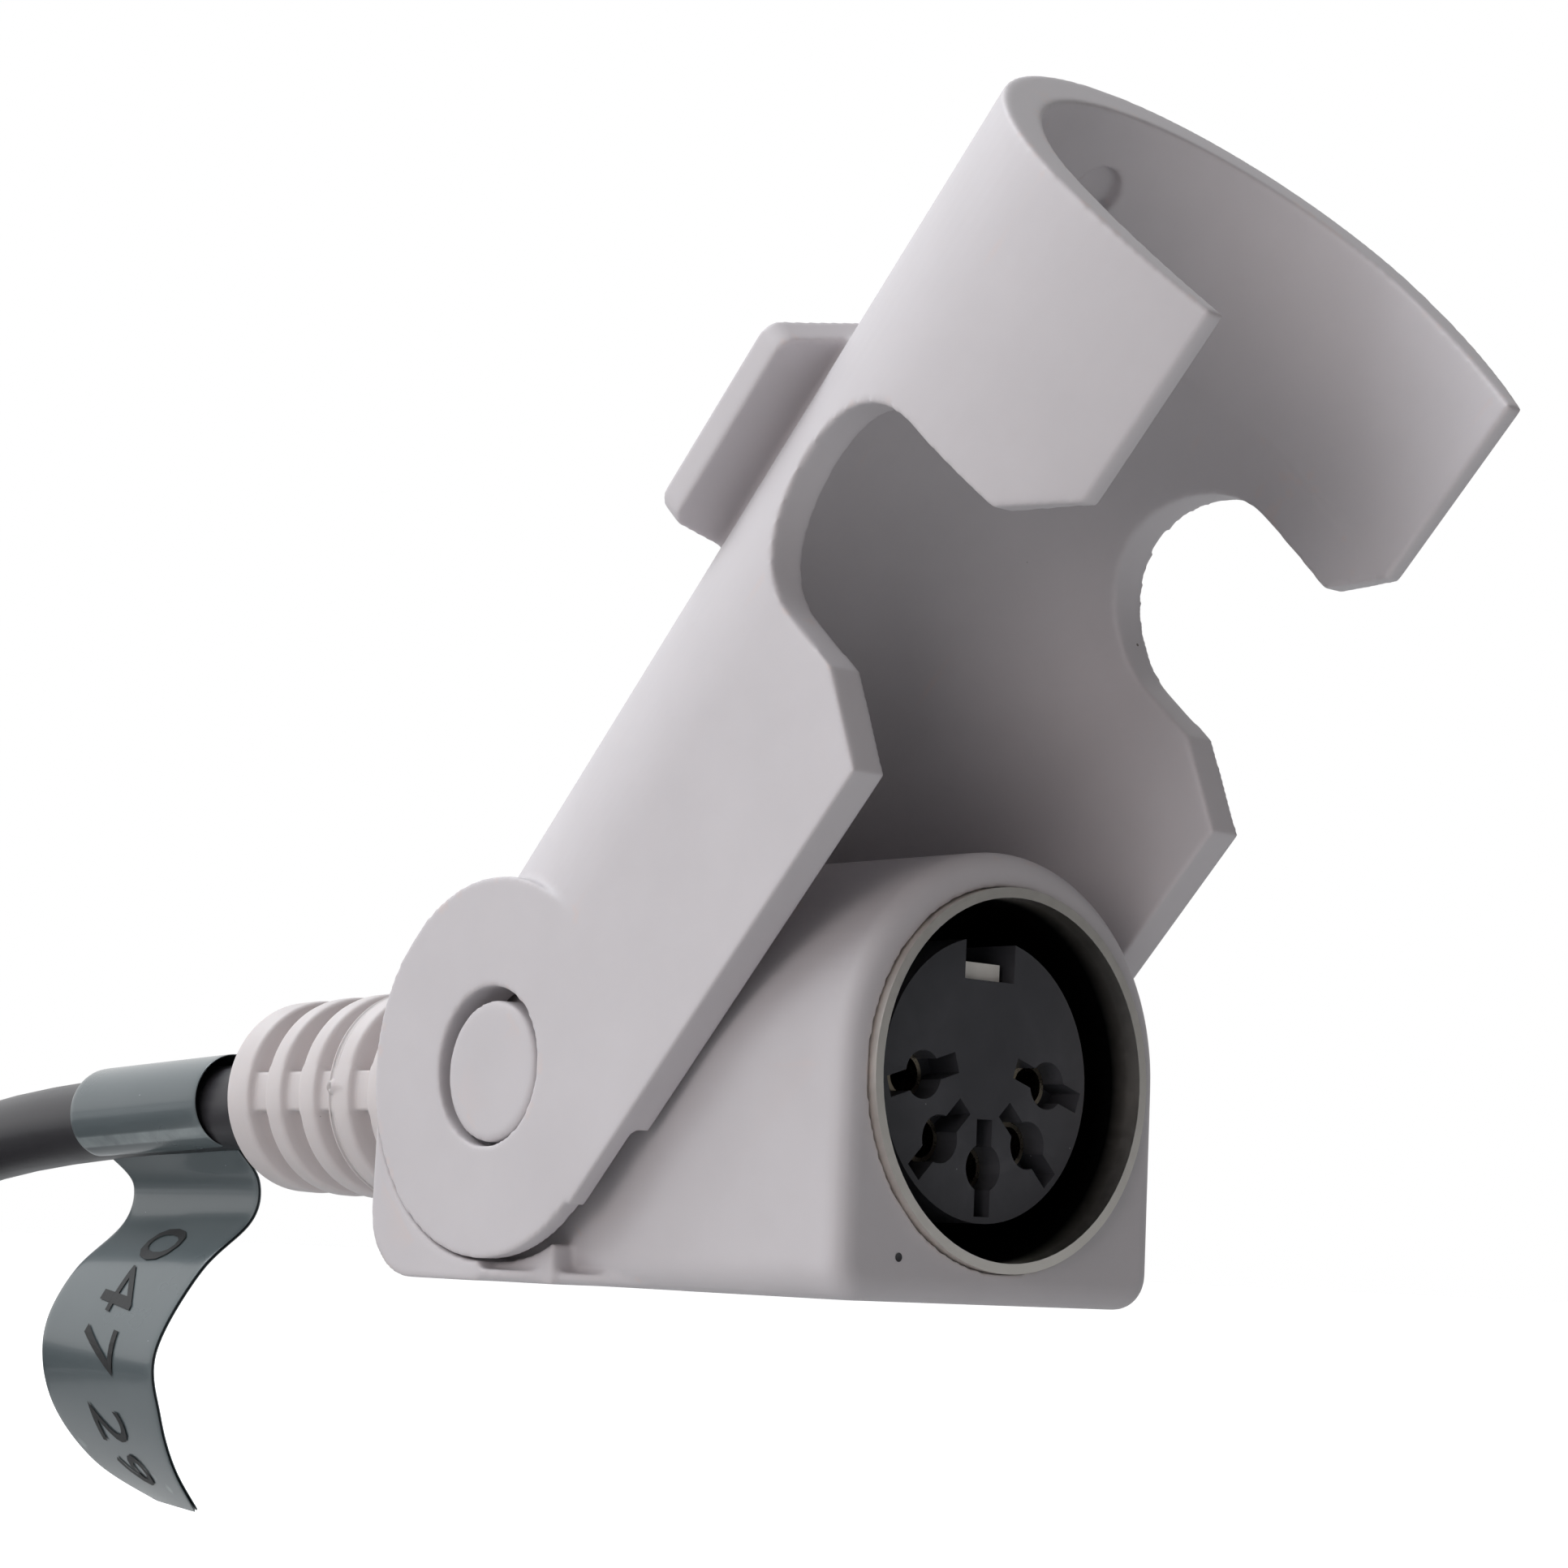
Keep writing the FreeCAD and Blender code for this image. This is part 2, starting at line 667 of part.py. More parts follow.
# ---------------------------------------------------------------- strain relief
def makeBoot():
    """The boot is drawn from its root at its own origin, running towards -X."""
    body = makeBody("strain_relief_boot")
    profile = makeSketch(body, "XZ_Plane", "BootProfile")
    bore = "(cordRadius + bootBoreGap)"
    addOutline(profile, [
        ("spigotLength", bore),
        ("spigotLength", "spigotRadius"),
        ("0", "spigotRadius"),
        ("0", "bootRootRadius"),
        ("-bootLength + bootEndRound", "bootEndRadius", "-bootLength + bootEndRound",
         "bootEndRadius - bootEndRound", "ccw"),
        ("-bootLength", "bootEndRadius - bootEndRound"),
        ("-bootLength", bore),
    ])
    turn = body.newObject("PartDesign::Revolution", "BootTurn")
    turn.Profile = profile
    turn.ReferenceAxis = (profile, ["H_Axis"])
    turn.Angle = 360
    doc.recompute()

    groove = makeSketch(body, "YZ_Plane", "BootGroove", "-bootLength + grooveFirst")
    outer = "bootRootRadius + overcut"
    web = "webHalfHeight"
    wide = "sqrt((%s) ^ 2 - %s ^ 2)" % (outer, web)
    deep = "sqrt(grooveFloor ^ 2 - %s ^ 2)" % web
    for sign, sweep, unsweep in (("", "ccw", "cw"), ("-", "cw", "ccw")):
        addOutline(groove, [
            (wide, sign + web, "0", "0", sweep),
            ("-" + wide, sign + web),
            ("-" + deep, sign + web, "0", "0", unsweep),
            (deep, sign + web),
        ])
    cut = addPocket(body, groove, "grooveWidth", reverse=True)
    rows = body.newObject("PartDesign::LinearPattern", "BootGrooves")
    rows.Originals = [cut]
    rows.Direction = (profile, ["H_Axis"])
    rows.setExpression("Length", ref("5 * groovePitch"))
    rows.Occurrences = 6
    body.Tip = rows
    doc.recompute()
    placeAt(body, ("-housingLength", "0", "-cordDrop"))
    return keepNode(body, "strain_relief_boot")


# ---------------------------------------------------------------- lead
def coilPoint(angle, radius, level):
    radians = math.radians(angle)
    return V(-value("coilMiddleX") + radius * math.cos(radians),
             -value("coilMiddleY") + radius * math.sin(radians), level)


entryAngle = 80
exitAngle = 275


def coilWay(angle):
    """The way a turn of the coil runs at this angle."""
    radians = math.radians(angle)
    return V(-math.sin(radians), math.cos(radians), 0)


def coilEntry():
    """Where the lead comes down into the coil's upper turns, and the way it comes."""
    slope = math.radians(value("entrySlope"))
    spot = coilPoint(entryAngle, value("coilRadius"), -value("restLevel - 3 * cordRadius"))
    return spot, coilWay(entryAngle) * math.cos(slope) - V(0, 0, math.sin(slope))


def coilExit():
    spot = coilPoint(exitAngle, value("coilRadius + cordRadius"), -value("restLevel - plugGripRadius"))
    return spot, coilWay(exitAngle)


def leadRoute():
    """Centre line of the lead from the ferrule to where it joins the coil."""
    spot, way = coilEntry()
    finish = spot - way * value("entryStub")
    drop = -value("cordDrop")
    return [
        V(-value("cavityDepth"), 0, drop),
        V(-value("levelRun"), 0, drop),
        finish - way * value("entryRun"),
        finish,
    ]


def tubeAlong(points, radius):
    """A tube of straight runs joined by tangent arcs as large as the runs allow, and its path."""
    edges = []
    here = points[0]
    length = 0.0
    for before, corner, after in zip(points, points[1:], points[2:]):
        back = before - corner
        ahead = after - corner
        trim = 0.45 * min(back.Length, ahead.Length)
        turn = math.pi - back.getAngle(ahead)
        print("lead arc radius %.1f mm, turn %.1f degrees" % (trim / math.tan(turn / 2),
                                                            math.degrees(turn)))
        start = corner + V(back).normalize() * trim
        finish = corner + V(ahead).normalize() * trim
        middleWay = (V(back).normalize() + V(ahead).normalize()).normalize()
        bend = trim / math.tan(turn / 2)
        centreDistance = bend / math.cos(turn / 2)
        middle = corner + middleWay * (centreDistance - bend)
        edges.append(Part.LineSegment(here, start).toShape())
        arc = Part.Arc(start, middle, finish).toShape()
        edges.append(arc)
        length += (start - here).Length + arc.Length
        here = finish
    edges.append(Part.LineSegment(here, points[-1]).toShape())
    length += (points[-1] - here).Length
    path = Part.Wire(edges)
    section = Part.Wire([Part.Circle(points[0], points[1] - points[0], radius).toShape()])
    tube = path.makePipeShell([section], True, True)
    print("lead length %.1f mm, volume %.1f of %.1f mm3" % (length, tube.Volume,
                                                          math.pi * radius ** 2 * length))
    return tube, path


def makeLead():
    """The lead's solid; gives back its centre line."""
    lead = doc.addObject("Part::Feature", "Lead")
    lead.Shape, path = tubeAlong(leadRoute(), value("cordRadius"))
    keepNode(lead, "lead_cord")
    return path


def spotOnLead(path, away):
    reach = value("cavityRadius")
    cutter = Part.makePlane(2 * reach, 2 * reach, V(-away, reach, -reach), V(1, 0, 0), V(0, 0, 1))
    return path.distToShape(cutter)[1][0][0]


def makeCoil():
    """Outer shape of the put-away turns, two wide and two high, with a stub at each end."""
    radius = value("coilRadius")
    cord = value("cordRadius")
    floor = -value("restLevel")
    centre = V(-value("coilMiddleX"), -value("coilMiddleY"), floor)
    width = 2 * cord
    outer = Part.makeCylinder(radius + width, 2 * width, centre)
    inner = Part.makeCylinder(radius - width, 2 * width, centre)
    ring = outer.cut(inner)
    entry, entryWay = coilEntry()
    lead = Part.makeCylinder(cord, value("entryStub"), entry, -entryWay)
    away, awayWay = coilExit()
    tail = Part.makeCylinder(cord, value("coilStub"), away, awayWay)
    coil = doc.addObject("Part::Feature", "Coil")
    coil.Shape = ring.fuse([lead, tail]).removeSplitter()
    turns = 3 + (exitAngle - entryAngle) / 360
    print("coil holds %.1f mm of lead in %.2f turns" % (turns * 2 * math.pi * radius, turns))
    return keepNode(coil, "cord_coil")


def makeTie():
    """A band round the bundle on the coil's -X side."""
    bundle = "(4 * cordRadius + 2 * tieGap)"
    far = "-coilMiddleX - coilRadius - 2 * cordRadius - tieGap"
    side = "-coilMiddleY - tieWidth / 2"
    low = "-restLevel - tieGap"
    inner = makeBox("TieInner", (bundle, "tieWidth", bundle), (far, side, low))
    full = bundle + " + 2 * tieThick"
    outer = makeBox("TieOuter", (full, "tieWidth", full),
                    (far + " - tieThick", side, low + " - tieThick"))
    return keepNode(makeCut("Tie", outer, inner), "coil_tie")


# ---------------------------------------------------------------- flag label
def makeLabel(path):
    """A vinyl strip wrapped once round the lead, its two ends stuck together as a curled flag."""
    width = value("labelWidth")
    thick = value("labelThick")
    start = value("labelStart")
    head = spotOnLead(path, start)
    tail = spotOnLead(path, start + width)
    bow = (spotOnLead(path, start + width / 2) - (head + tail) / 2) / 2
    head += bow
    tail += bow
    along = (tail - head).normalize()
    inner = value("cordRadius + labelGap")
    sleeve = Part.makeCylinder(inner + thick, (tail - head).Length, head, along)
    flow = [V(0, 0.3, -2.85), V(0, 1.55, -4.7), V(0, 1.1, -6.8), V(0, -2.1, -9.6), V(0, -3.6, -12.7),
            V(0, -3.0, -16.1), V(0, -1.4, -19.2), V(0, 0.4, -21.2)]
    curve = Part.BSplineCurve()
    curve.interpolate(flow)
    sides = [[], []]
    steps = 24
    for index in range(steps + 1):
        share = curve.FirstParameter + (curve.LastParameter - curve.FirstParameter) * index / steps
        spot = curve.value(share)
        way = V(*curve.tangent(share)[0])
        across = V(0, -way.z, way.y) * (thick / 2)
        sides[0].append(spot + across)
        sides[1].append(spot - across)
    edges = []
    for side in sides:
        line = Part.BSplineCurve()
        line.interpolate(side)
        edges.append(line.toShape())
    edges.append(Part.LineSegment(sides[0][0], sides[1][0]).toShape())
    edges.append(Part.LineSegment(sides[0][-1], sides[1][-1]).toShape())
    face = Part.Face(Part.Wire(Part.__sortEdges__(edges)))
    face.translate(V(-value("flagStart + flagWidth"), 0, 0))
    flag = face.extrude(V(value("flagWidth"), 0, 0))
    bore = Part.makeCylinder(inner, 2 * width, head - along * (width / 2), along)
    label = doc.addObject("Part::Feature", "Label")
    label.Shape = sleeve.fuse(flag).cut(bore).removeSplitter()
    return keepNode(label, "flag_label")


# ---------------------------------------------------------------- far plug
def plugPlace(item):
    """The plug is drawn along +X from its boot's tail and carries on from the coil's end."""
    away, way = coilExit()
    item.Placement = FreeCAD.Placement(away + way * value("coilStub"), FreeCAD.Rotation(V(1, 0, 0), way))
    return item


def makePlug():
    boot = makeCone("PlugBootCone", "cordRadius + plugTailWall", "plugBootRadius", "plugBootLength", ("0", "0", "0"))
    neck = makeCylinder("PlugNeck", "plugBootRadius", "plugNeck", ("plugBootLength", "0", "0"))
    keepNode(plugPlace(makeFuse("PlugBoot", [boot, neck])), "plug_boot")
    gripStart = "plugBootLength + plugNeck"
    gripEnd = "(%s + plugGripLength)" % gripStart
    grip = makeCylinder("PlugGripRod", "plugGripRadius", "plugGripLength", (gripStart, "0", "0"))
    rings = []
    for index in range(1, 5):
        place = "%s + %d * gripRingPitch" % (gripStart, index)
        outer = makeCylinder("GripRing", "plugGripRadius + overcut", "gripRingWidth", (place, "0", "0"))
        inner = makeCylinder("GripCore", "plugGripRadius - gripRingDeep", "gripRingWidth",
                             (place, "0", "0"))
        rings.append(makeCut("GripGroove", outer, inner))
    keepNode(plugPlace(makeCut("PlugGrip", grip, makeFuse("GripGrooves", rings))), "plug_body")
    outer = makeCylinder("PlugShellOuter", "plugShellRadius", "plugShellLength", (gripEnd, "0", "0"))
    inner = makeCylinder("PlugShellInner", "plugShellRadius - shellWall", "plugShellLength", (gripEnd, "0", "0"))
    keepNode(plugPlace(makeCut("PlugShell", outer, inner)), "plug_shell")
    disc = makeCylinder("PlugDisc", "plugShellRadius - shellWall - fitGap", "plugInsertThick",
                        (gripEnd, "0", "0"))
    key = makeBox("PlugKey", ("plugInsertThick", "2 * keyHalfWidth", "plugShellRadius"),
                  (gripEnd, "-keyHalfWidth", "plugShellRadius - keySlot"))
    keepNode(plugPlace(makeCut("PlugInsert", disc, key)), "plug_insert")
    face = gripEnd + " + plugInsertThick"
    for number, angle in enumerate(contactAngles, start=1):
        y, z = onCircle(angle)
        rod = makeCylinder("PlugRod", "plugPinRadius", "plugPinLength", (face, y, z))
        tip = makeCone("PlugTip", "plugPinRadius", "plugPinRadius / 3", "plugPinRadius",
                       (face + " + plugPinLength", y, z))
        keepNode(plugPlace(makeFuse("PlugPin", [rod, tip])), "plug_pin_%d" % number)


def checkAndWrite():
    doc.recompute()
    for item in doc.Objects:
        if "Invalid" in item.State or "Error" in item.State:
            raise ValueError("failed object: %s %s" % (item.Name, item.State))
    for label, item in nodes:
        shape = item.Shape
        if shape.isNull() or not shape.isValid():
            raise ValueError("bad shape: " + label)
        print("%-20s solids %d, volume %.1f mm3" % (label, len(shape.Solids), shape.Volume))
        shape.exportStep("parts/%s.step" % label)


makeHousing()
makeClip()
makeShell()
makeCarrier()
makeCap()
makeSpring()
for number, angle in enumerate(contactAngles, start=1):
    makeContact(number, angle)
    makeWire(number, angle)
makeFerrule()
makeBoot()
leadPath = makeLead()
makeCoil()
makeTie()
makeLabel(leadPath)
makePlug()
checkAndWrite()
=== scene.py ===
import json
import math
import bmesh
import bpy
from mathutils import Matrix, Vector


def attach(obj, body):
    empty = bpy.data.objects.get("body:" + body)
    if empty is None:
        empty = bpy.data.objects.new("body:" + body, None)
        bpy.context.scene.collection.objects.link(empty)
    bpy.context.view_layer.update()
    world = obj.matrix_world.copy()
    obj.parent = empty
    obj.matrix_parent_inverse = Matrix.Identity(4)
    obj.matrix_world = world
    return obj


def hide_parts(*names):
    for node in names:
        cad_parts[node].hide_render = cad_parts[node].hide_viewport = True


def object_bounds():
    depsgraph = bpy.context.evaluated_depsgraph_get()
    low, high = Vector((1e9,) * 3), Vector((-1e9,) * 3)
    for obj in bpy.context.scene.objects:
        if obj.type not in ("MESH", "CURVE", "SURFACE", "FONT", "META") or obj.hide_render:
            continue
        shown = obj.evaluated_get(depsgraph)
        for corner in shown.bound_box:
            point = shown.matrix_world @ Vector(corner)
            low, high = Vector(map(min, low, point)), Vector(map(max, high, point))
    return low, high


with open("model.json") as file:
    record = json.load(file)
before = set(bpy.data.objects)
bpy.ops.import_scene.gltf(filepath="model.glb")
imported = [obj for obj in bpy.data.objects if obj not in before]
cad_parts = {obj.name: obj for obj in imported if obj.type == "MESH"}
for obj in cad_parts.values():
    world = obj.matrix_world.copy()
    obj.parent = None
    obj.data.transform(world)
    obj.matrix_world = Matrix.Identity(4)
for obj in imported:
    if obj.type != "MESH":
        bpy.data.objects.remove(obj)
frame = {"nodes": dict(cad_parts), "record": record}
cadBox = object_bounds()
mm = 0.001
scene = bpy.context.scene
print("frame loaded:", len(frame["nodes"]), "nodes")


def spot(x, y, z):
    return Vector((x * mm, y * mm, z * mm))


# camera: close by, before the mouth and to one side, a little below the socket
cameraSet = {
    "place": (97.985, -99.622, -7.298),
    "right": (0.66848, 0.74237, 0.04482),
    "up": (0.0682, -0.1212, 0.99028),
    "forward": (-0.74059, 0.65893, 0.13165),
    "lens": 82.04,
    "sensor": 36.0,
    "clip": (0.005, 50),
}


def addCamera():
    lens = bpy.data.cameras.new("view")
    lens.lens = cameraSet["lens"]
    lens.sensor_width = cameraSet["sensor"]
    lens.clip_start, lens.clip_end = cameraSet["clip"]
    camera = bpy.data.objects.new("view", lens)
    scene.collection.objects.link(camera)
    right, up = Vector(cameraSet["right"]), Vector(cameraSet["up"])
    back = -Vector(cameraSet["forward"])
    turn = Matrix((right, up, back)).transposed().to_4x4()
    camera.matrix_world = Matrix.Translation(spot(*cameraSet["place"])) @ turn
    scene.camera = camera


addCamera()

# materials: node groups first, then one material for each finish


def startGroup(name, inputs, outputs):
    group = bpy.data.node_groups.new(name, "ShaderNodeTree")
    for titles, way in ((inputs, "INPUT"), (outputs, "OUTPUT")):
        for title in titles:
            group.interface.new_socket(title, in_out=way, socket_type="NodeSocketFloat")
    return group, group.nodes.new("NodeGroupInput"), group.nodes.new("NodeGroupOutput")


def addNode(tree, kind, **values):
    node = tree.nodes.new(kind)
    for key, value in values.items():
        if key in node.inputs:
            node.inputs[key].default_value = value
        else:
            setattr(node, key, value)
    return node


def addMix(tree, blend, factor, first, second):
    mix = tree.nodes.new("ShaderNodeMix")
    mix.data_type = "RGBA"
    mix.blend_type = blend
    for socket, item in ((0, factor), (6, first), (7, second)):
        if hasattr(item, "links"):
            tree.links.new(item, mix.inputs[socket])
        else:
            mix.inputs[socket].default_value = item
    return mix.outputs[2]


def groupGrain():
    # fine moulded texture: a height for the bump and a soft mottle for the colour
    group, source, target = startGroup("mouldGrain", ["grainScale", "mottleScale"], ["height", "mottle"])
    place = addNode(group, "ShaderNodeTexCoord").outputs["Object"]
    for port, scaleName, detail in (("height", "grainScale", 3.0), ("mottle", "mottleScale", 4.0)):
        noise = addNode(group, "ShaderNodeTexNoise", Detail=detail, Roughness=0.55)
        group.links.new(place, noise.inputs["Vector"])
        group.links.new(source.outputs[scaleName], noise.inputs["Scale"])
        group.links.new(noise.outputs["Fac"], target.inputs[port])
    return group


def groupRimWearAndEdgeShade():
    # convex rims, partly rubbed here and there, partly painted edge shading (the case plastic's pinkish rims)
    group, source, target = startGroup("rimWearAndEdgeShade", ["reach", "breakUp"], ["mask"])
    shape = addNode(group, "ShaderNodeNewGeometry")
    noise = addNode(group, "ShaderNodeTexNoise", Detail=3.0)
    place = addNode(group, "ShaderNodeTexCoord").outputs["Object"]
    group.links.new(place, noise.inputs["Vector"])
    group.links.new(source.outputs["breakUp"], noise.inputs["Scale"])
    edge = addNode(group, "ShaderNodeMapRange", clamp=True)
    group.links.new(shape.outputs["Pointiness"], edge.inputs["Value"])
    group.links.new(source.outputs["reach"], edge.inputs["From Min"])
    edge.inputs["From Max"].default_value = 0.68
    worn = addNode(group, "ShaderNodeMath", operation="MULTIPLY")
    group.links.new(edge.outputs["Result"], worn.inputs[0])
    group.links.new(noise.outputs["Fac"], worn.inputs[1])
    group.links.new(worn.outputs[0], target.inputs["mask"])
    return group


def groupDust():
    # scattered specks
    group, source, target = startGroup("handledDust", ["speckScale", "amount"], ["mask"])
    place = addNode(group, "ShaderNodeTexCoord").outputs["Object"]
    cells = addNode(group, "ShaderNodeTexVoronoi")
    group.links.new(place, cells.inputs["Vector"])
    group.links.new(source.outputs["speckScale"], cells.inputs["Scale"])
    near = addNode(group, "ShaderNodeMath", operation="LESS_THAN")
    group.links.new(cells.outputs["Distance"], near.inputs[0])
    group.links.new(source.outputs["amount"], near.inputs[1])
    group.links.new(near.outputs[0], target.inputs["mask"])
    return group


grainGroup, rimWearAndEdgeShadeGroup, dustGroup = groupGrain(), groupRimWearAndEdgeShade(), groupDust()


def placeGroup(tree, group, **values):
    node = tree.nodes.new("ShaderNodeGroup")
    node.node_tree = group
    for key, value in values.items():
        node.inputs[key].default_value = value
    return node


plasticSet = {"breakUp": 900.0, "bumpHeight": 0.00002, "softRadius": (0.0012, 0.0008, 0.0006)}
metalSet = {"rim": 0.54, "breakUp": 1500.0, "bumpHeight": 0.00001}


def mouldedFinish(name, look):
    # moulded plastic or rubber: mottled colour, rubbed rims that also carry painted edge shading, specks and
    # fine grain
    material = bpy.data.materials.new(name)
    material.use_nodes = True
    tree = material.node_tree
    shader = tree.nodes["Principled BSDF"]
    grain = placeGroup(tree, grainGroup, grainScale=look["grain"], mottleScale=look["mottle"])
    wearAndEdgeShade = placeGroup(tree, rimWearAndEdgeShadeGroup, reach=look["rim"], breakUp=plasticSet["breakUp"])
    dust = placeGroup(tree, dustGroup, speckScale=look["specks"], amount=look["dust"])
    base = addMix(tree, "MIX", grain.outputs["mottle"], look["dark"], look["pale"])
    # rims take the rim colour: rubbed wear, and on the case plastic painted warm edge shading
    rimmed = addMix(tree, "MIX", wearAndEdgeShade.outputs["mask"], base, look["rimWearAndEdgeShadeColour"])
    dusty = addMix(tree, "MIX", dust.outputs["mask"], rimmed, look["speck"])
    tree.links.new(dusty, shader.inputs["Base Color"])
    rough = addNode(tree, "ShaderNodeMapRange")
    rough.inputs["To Min"].default_value, rough.inputs["To Max"].default_value = look["rough"]
    tree.links.new(grain.outputs["mottle"], rough.inputs["Value"])
    tree.links.new(rough.outputs["Result"], shader.inputs["Roughness"])
    bump = addNode(tree, "ShaderNodeBump", Strength=look["bump"], Distance=plasticSet["bumpHeight"])
    tree.links.new(grain.outputs["height"], bump.inputs["Height"])
    tree.links.new(bump.outputs["Normal"], shader.inputs["Normal"])
    shader.inputs["Specular IOR Level"].default_value = look["shine"]
    shader.inputs["Subsurface Weight"].default_value = look.get("soft", 0.0)
    shader.inputs["Subsurface Radius"].default_value = plasticSet["softRadius"]
    shader.inputs["Coat Weight"].default_value = look.get("coat", 0.0)
    shader.inputs["Coat Roughness"].default_value = look.get("coatRough", 0.1)
    return material


def metalFinish(name, look):
    # plated or drawn metal: a faint mottle in its colour and gloss
    material = bpy.data.materials.new(name)
    material.use_nodes = True
    tree = material.node_tree
    shader = tree.nodes["Principled BSDF"]
    shader.inputs["Metallic"].default_value = look.get("metal", 1.0)
    grain = placeGroup(tree, grainGroup, grainScale=look["grain"], mottleScale=look["mottle"])
    wearAndEdgeShade = placeGroup(tree, rimWearAndEdgeShadeGroup, reach=metalSet["rim"], breakUp=metalSet["breakUp"])
    base = addMix(tree, "MIX", grain.outputs["mottle"], look["dark"], look["pale"])
    rimmed = addMix(tree, "MIX", wearAndEdgeShade.outputs["mask"], base, look["pale"])
    if "paintedShadeFrom" in look:  # painted shade: the plating is drawn black deeper inside the mouth, where shade falls
        split = addNode(tree, "ShaderNodeSeparateXYZ")
        tree.links.new(addNode(tree, "ShaderNodeTexCoord").outputs["Object"], split.inputs[0])
        depth = addNode(tree, "ShaderNodeMapRange")
        depth.inputs["From Min"].default_value, depth.inputs["From Max"].default_value = look["paintedShadeFrom"]
        tree.links.new(split.outputs["X"], depth.inputs["Value"])
        rimmed = addMix(tree, "MIX", depth.outputs["Result"], look["black"], rimmed)
    tree.links.new(rimmed, shader.inputs["Base Color"])
    rough = addNode(tree, "ShaderNodeMapRange")
    rough.inputs["To Min"].default_value, rough.inputs["To Max"].default_value = look["rough"]
    tree.links.new(grain.outputs["height"], rough.inputs["Value"])
    tree.links.new(rough.outputs["Result"], shader.inputs["Roughness"])
    bump = addNode(tree, "ShaderNodeBump", Strength=look["bump"], Distance=metalSet["bumpHeight"])
    tree.links.new(grain.outputs["height"], bump.inputs["Height"])
    tree.links.new(bump.outputs["Normal"], shader.inputs["Normal"])
    return material


# the case plastic's pinkish rim colour is painted warm shading on its edge faces
casePlastic = {
    "dark": (0.510, 0.482, 0.498, 1), "pale": (0.570, 0.540, 0.558, 1),
    "rimWearAndEdgeShadeColour": (0.58, 0.50, 0.49, 1), "speck": (0.16, 0.14, 0.13, 1),
    "grain": 5200.0, "mottle": 240.0, "rim": 0.516, "specks": 260.0, "dust": 0.018,
    "rough": (0.46, 0.58), "bump": 0.12, "shine": 0.36, "soft": 0.04,
}
bootRubber = {
    "dark": (0.575, 0.53, 0.53, 1), "pale": (0.64, 0.595, 0.595, 1),
    "rimWearAndEdgeShadeColour": (0.74, 0.68, 0.67, 1), "speck": (0.3, 0.27, 0.25, 1),
    "grain": 4200.0, "mottle": 420.0, "rim": 0.54, "specks": 420.0, "dust": 0.02,
    "rough": (0.42, 0.55), "bump": 0.16, "shine": 0.4, "soft": 0.1,
}
insertPlastic = {
    "dark": (0.036, 0.036, 0.042, 1), "pale": (0.052, 0.052, 0.06, 1),
    "rimWearAndEdgeShadeColour": (0.09, 0.09, 0.1, 1), "speck": (0.2, 0.2, 0.21, 1),
    "grain": 6000.0, "mottle": 700.0, "rim": 0.54, "specks": 900.0, "dust": 0.03,
    "rough": (0.4, 0.6), "bump": 0.22, "shine": 0.4,
}
leadJacket = {
    "dark": (0.022, 0.021, 0.024, 1), "pale": (0.034, 0.032, 0.037, 1),
    "rimWearAndEdgeShadeColour": (0.06, 0.058, 0.062, 1), "speck": (0.15, 0.15, 0.15, 1),
    "grain": 5200.0, "mottle": 320.0, "rim": 0.6, "specks": 600.0, "dust": 0.02,
    "rough": (0.32, 0.45), "bump": 0.1, "shine": 0.5,
}
strapPlastic = {**leadJacket, "grain": 9000.0, "rough": (0.5, 0.65), "bump": 0.3}
labelVinyl = {
    "dark": (0.085, 0.106, 0.114, 1), "pale": (0.115, 0.138, 0.147, 1),
    "rimWearAndEdgeShadeColour": (0.4, 0.45, 0.46, 1), "speck": (0.45, 0.48, 0.5, 1),
    "grain": 3500.0, "mottle": 120.0, "rim": 0.58, "specks": 500.0, "dust": 0.015,
    "rough": (0.24, 0.34), "bump": 0.04, "shine": 0.45, "coat": 0.35, "coatRough": 0.1,
}
nickelPlate = {
    "dark": (0.8, 0.76, 0.7, 1), "pale": (0.95, 0.91, 0.86, 1),
    "grain": 2600.0, "mottle": 900.0, "rough": (0.26, 0.4), "bump": 0.08,
}
# painted shade: the shell fades to black between 0.3 and 1.2 mm inside the mouth
paintedMouthShade = {"paintedShadeFrom": (-0.0012, -0.0003), "black": (0.03, 0.03, 0.032, 1)}
contactPlate = {
    "dark": (0.24, 0.2, 0.15, 1), "pale": (0.45, 0.4, 0.31, 1),
    "grain": 3200.0, "mottle": 1500.0, "rough": (0.2, 0.36), "bump": 0.1,
}


wireShade = 0.85


def wireLook(*colour):
    dark = [share * wireShade for share in colour]
    return {**leadJacket, "dark": (*dark, 1), "pale": (*colour, 1), "rimWearAndEdgeShadeColour": (*colour, 1)}


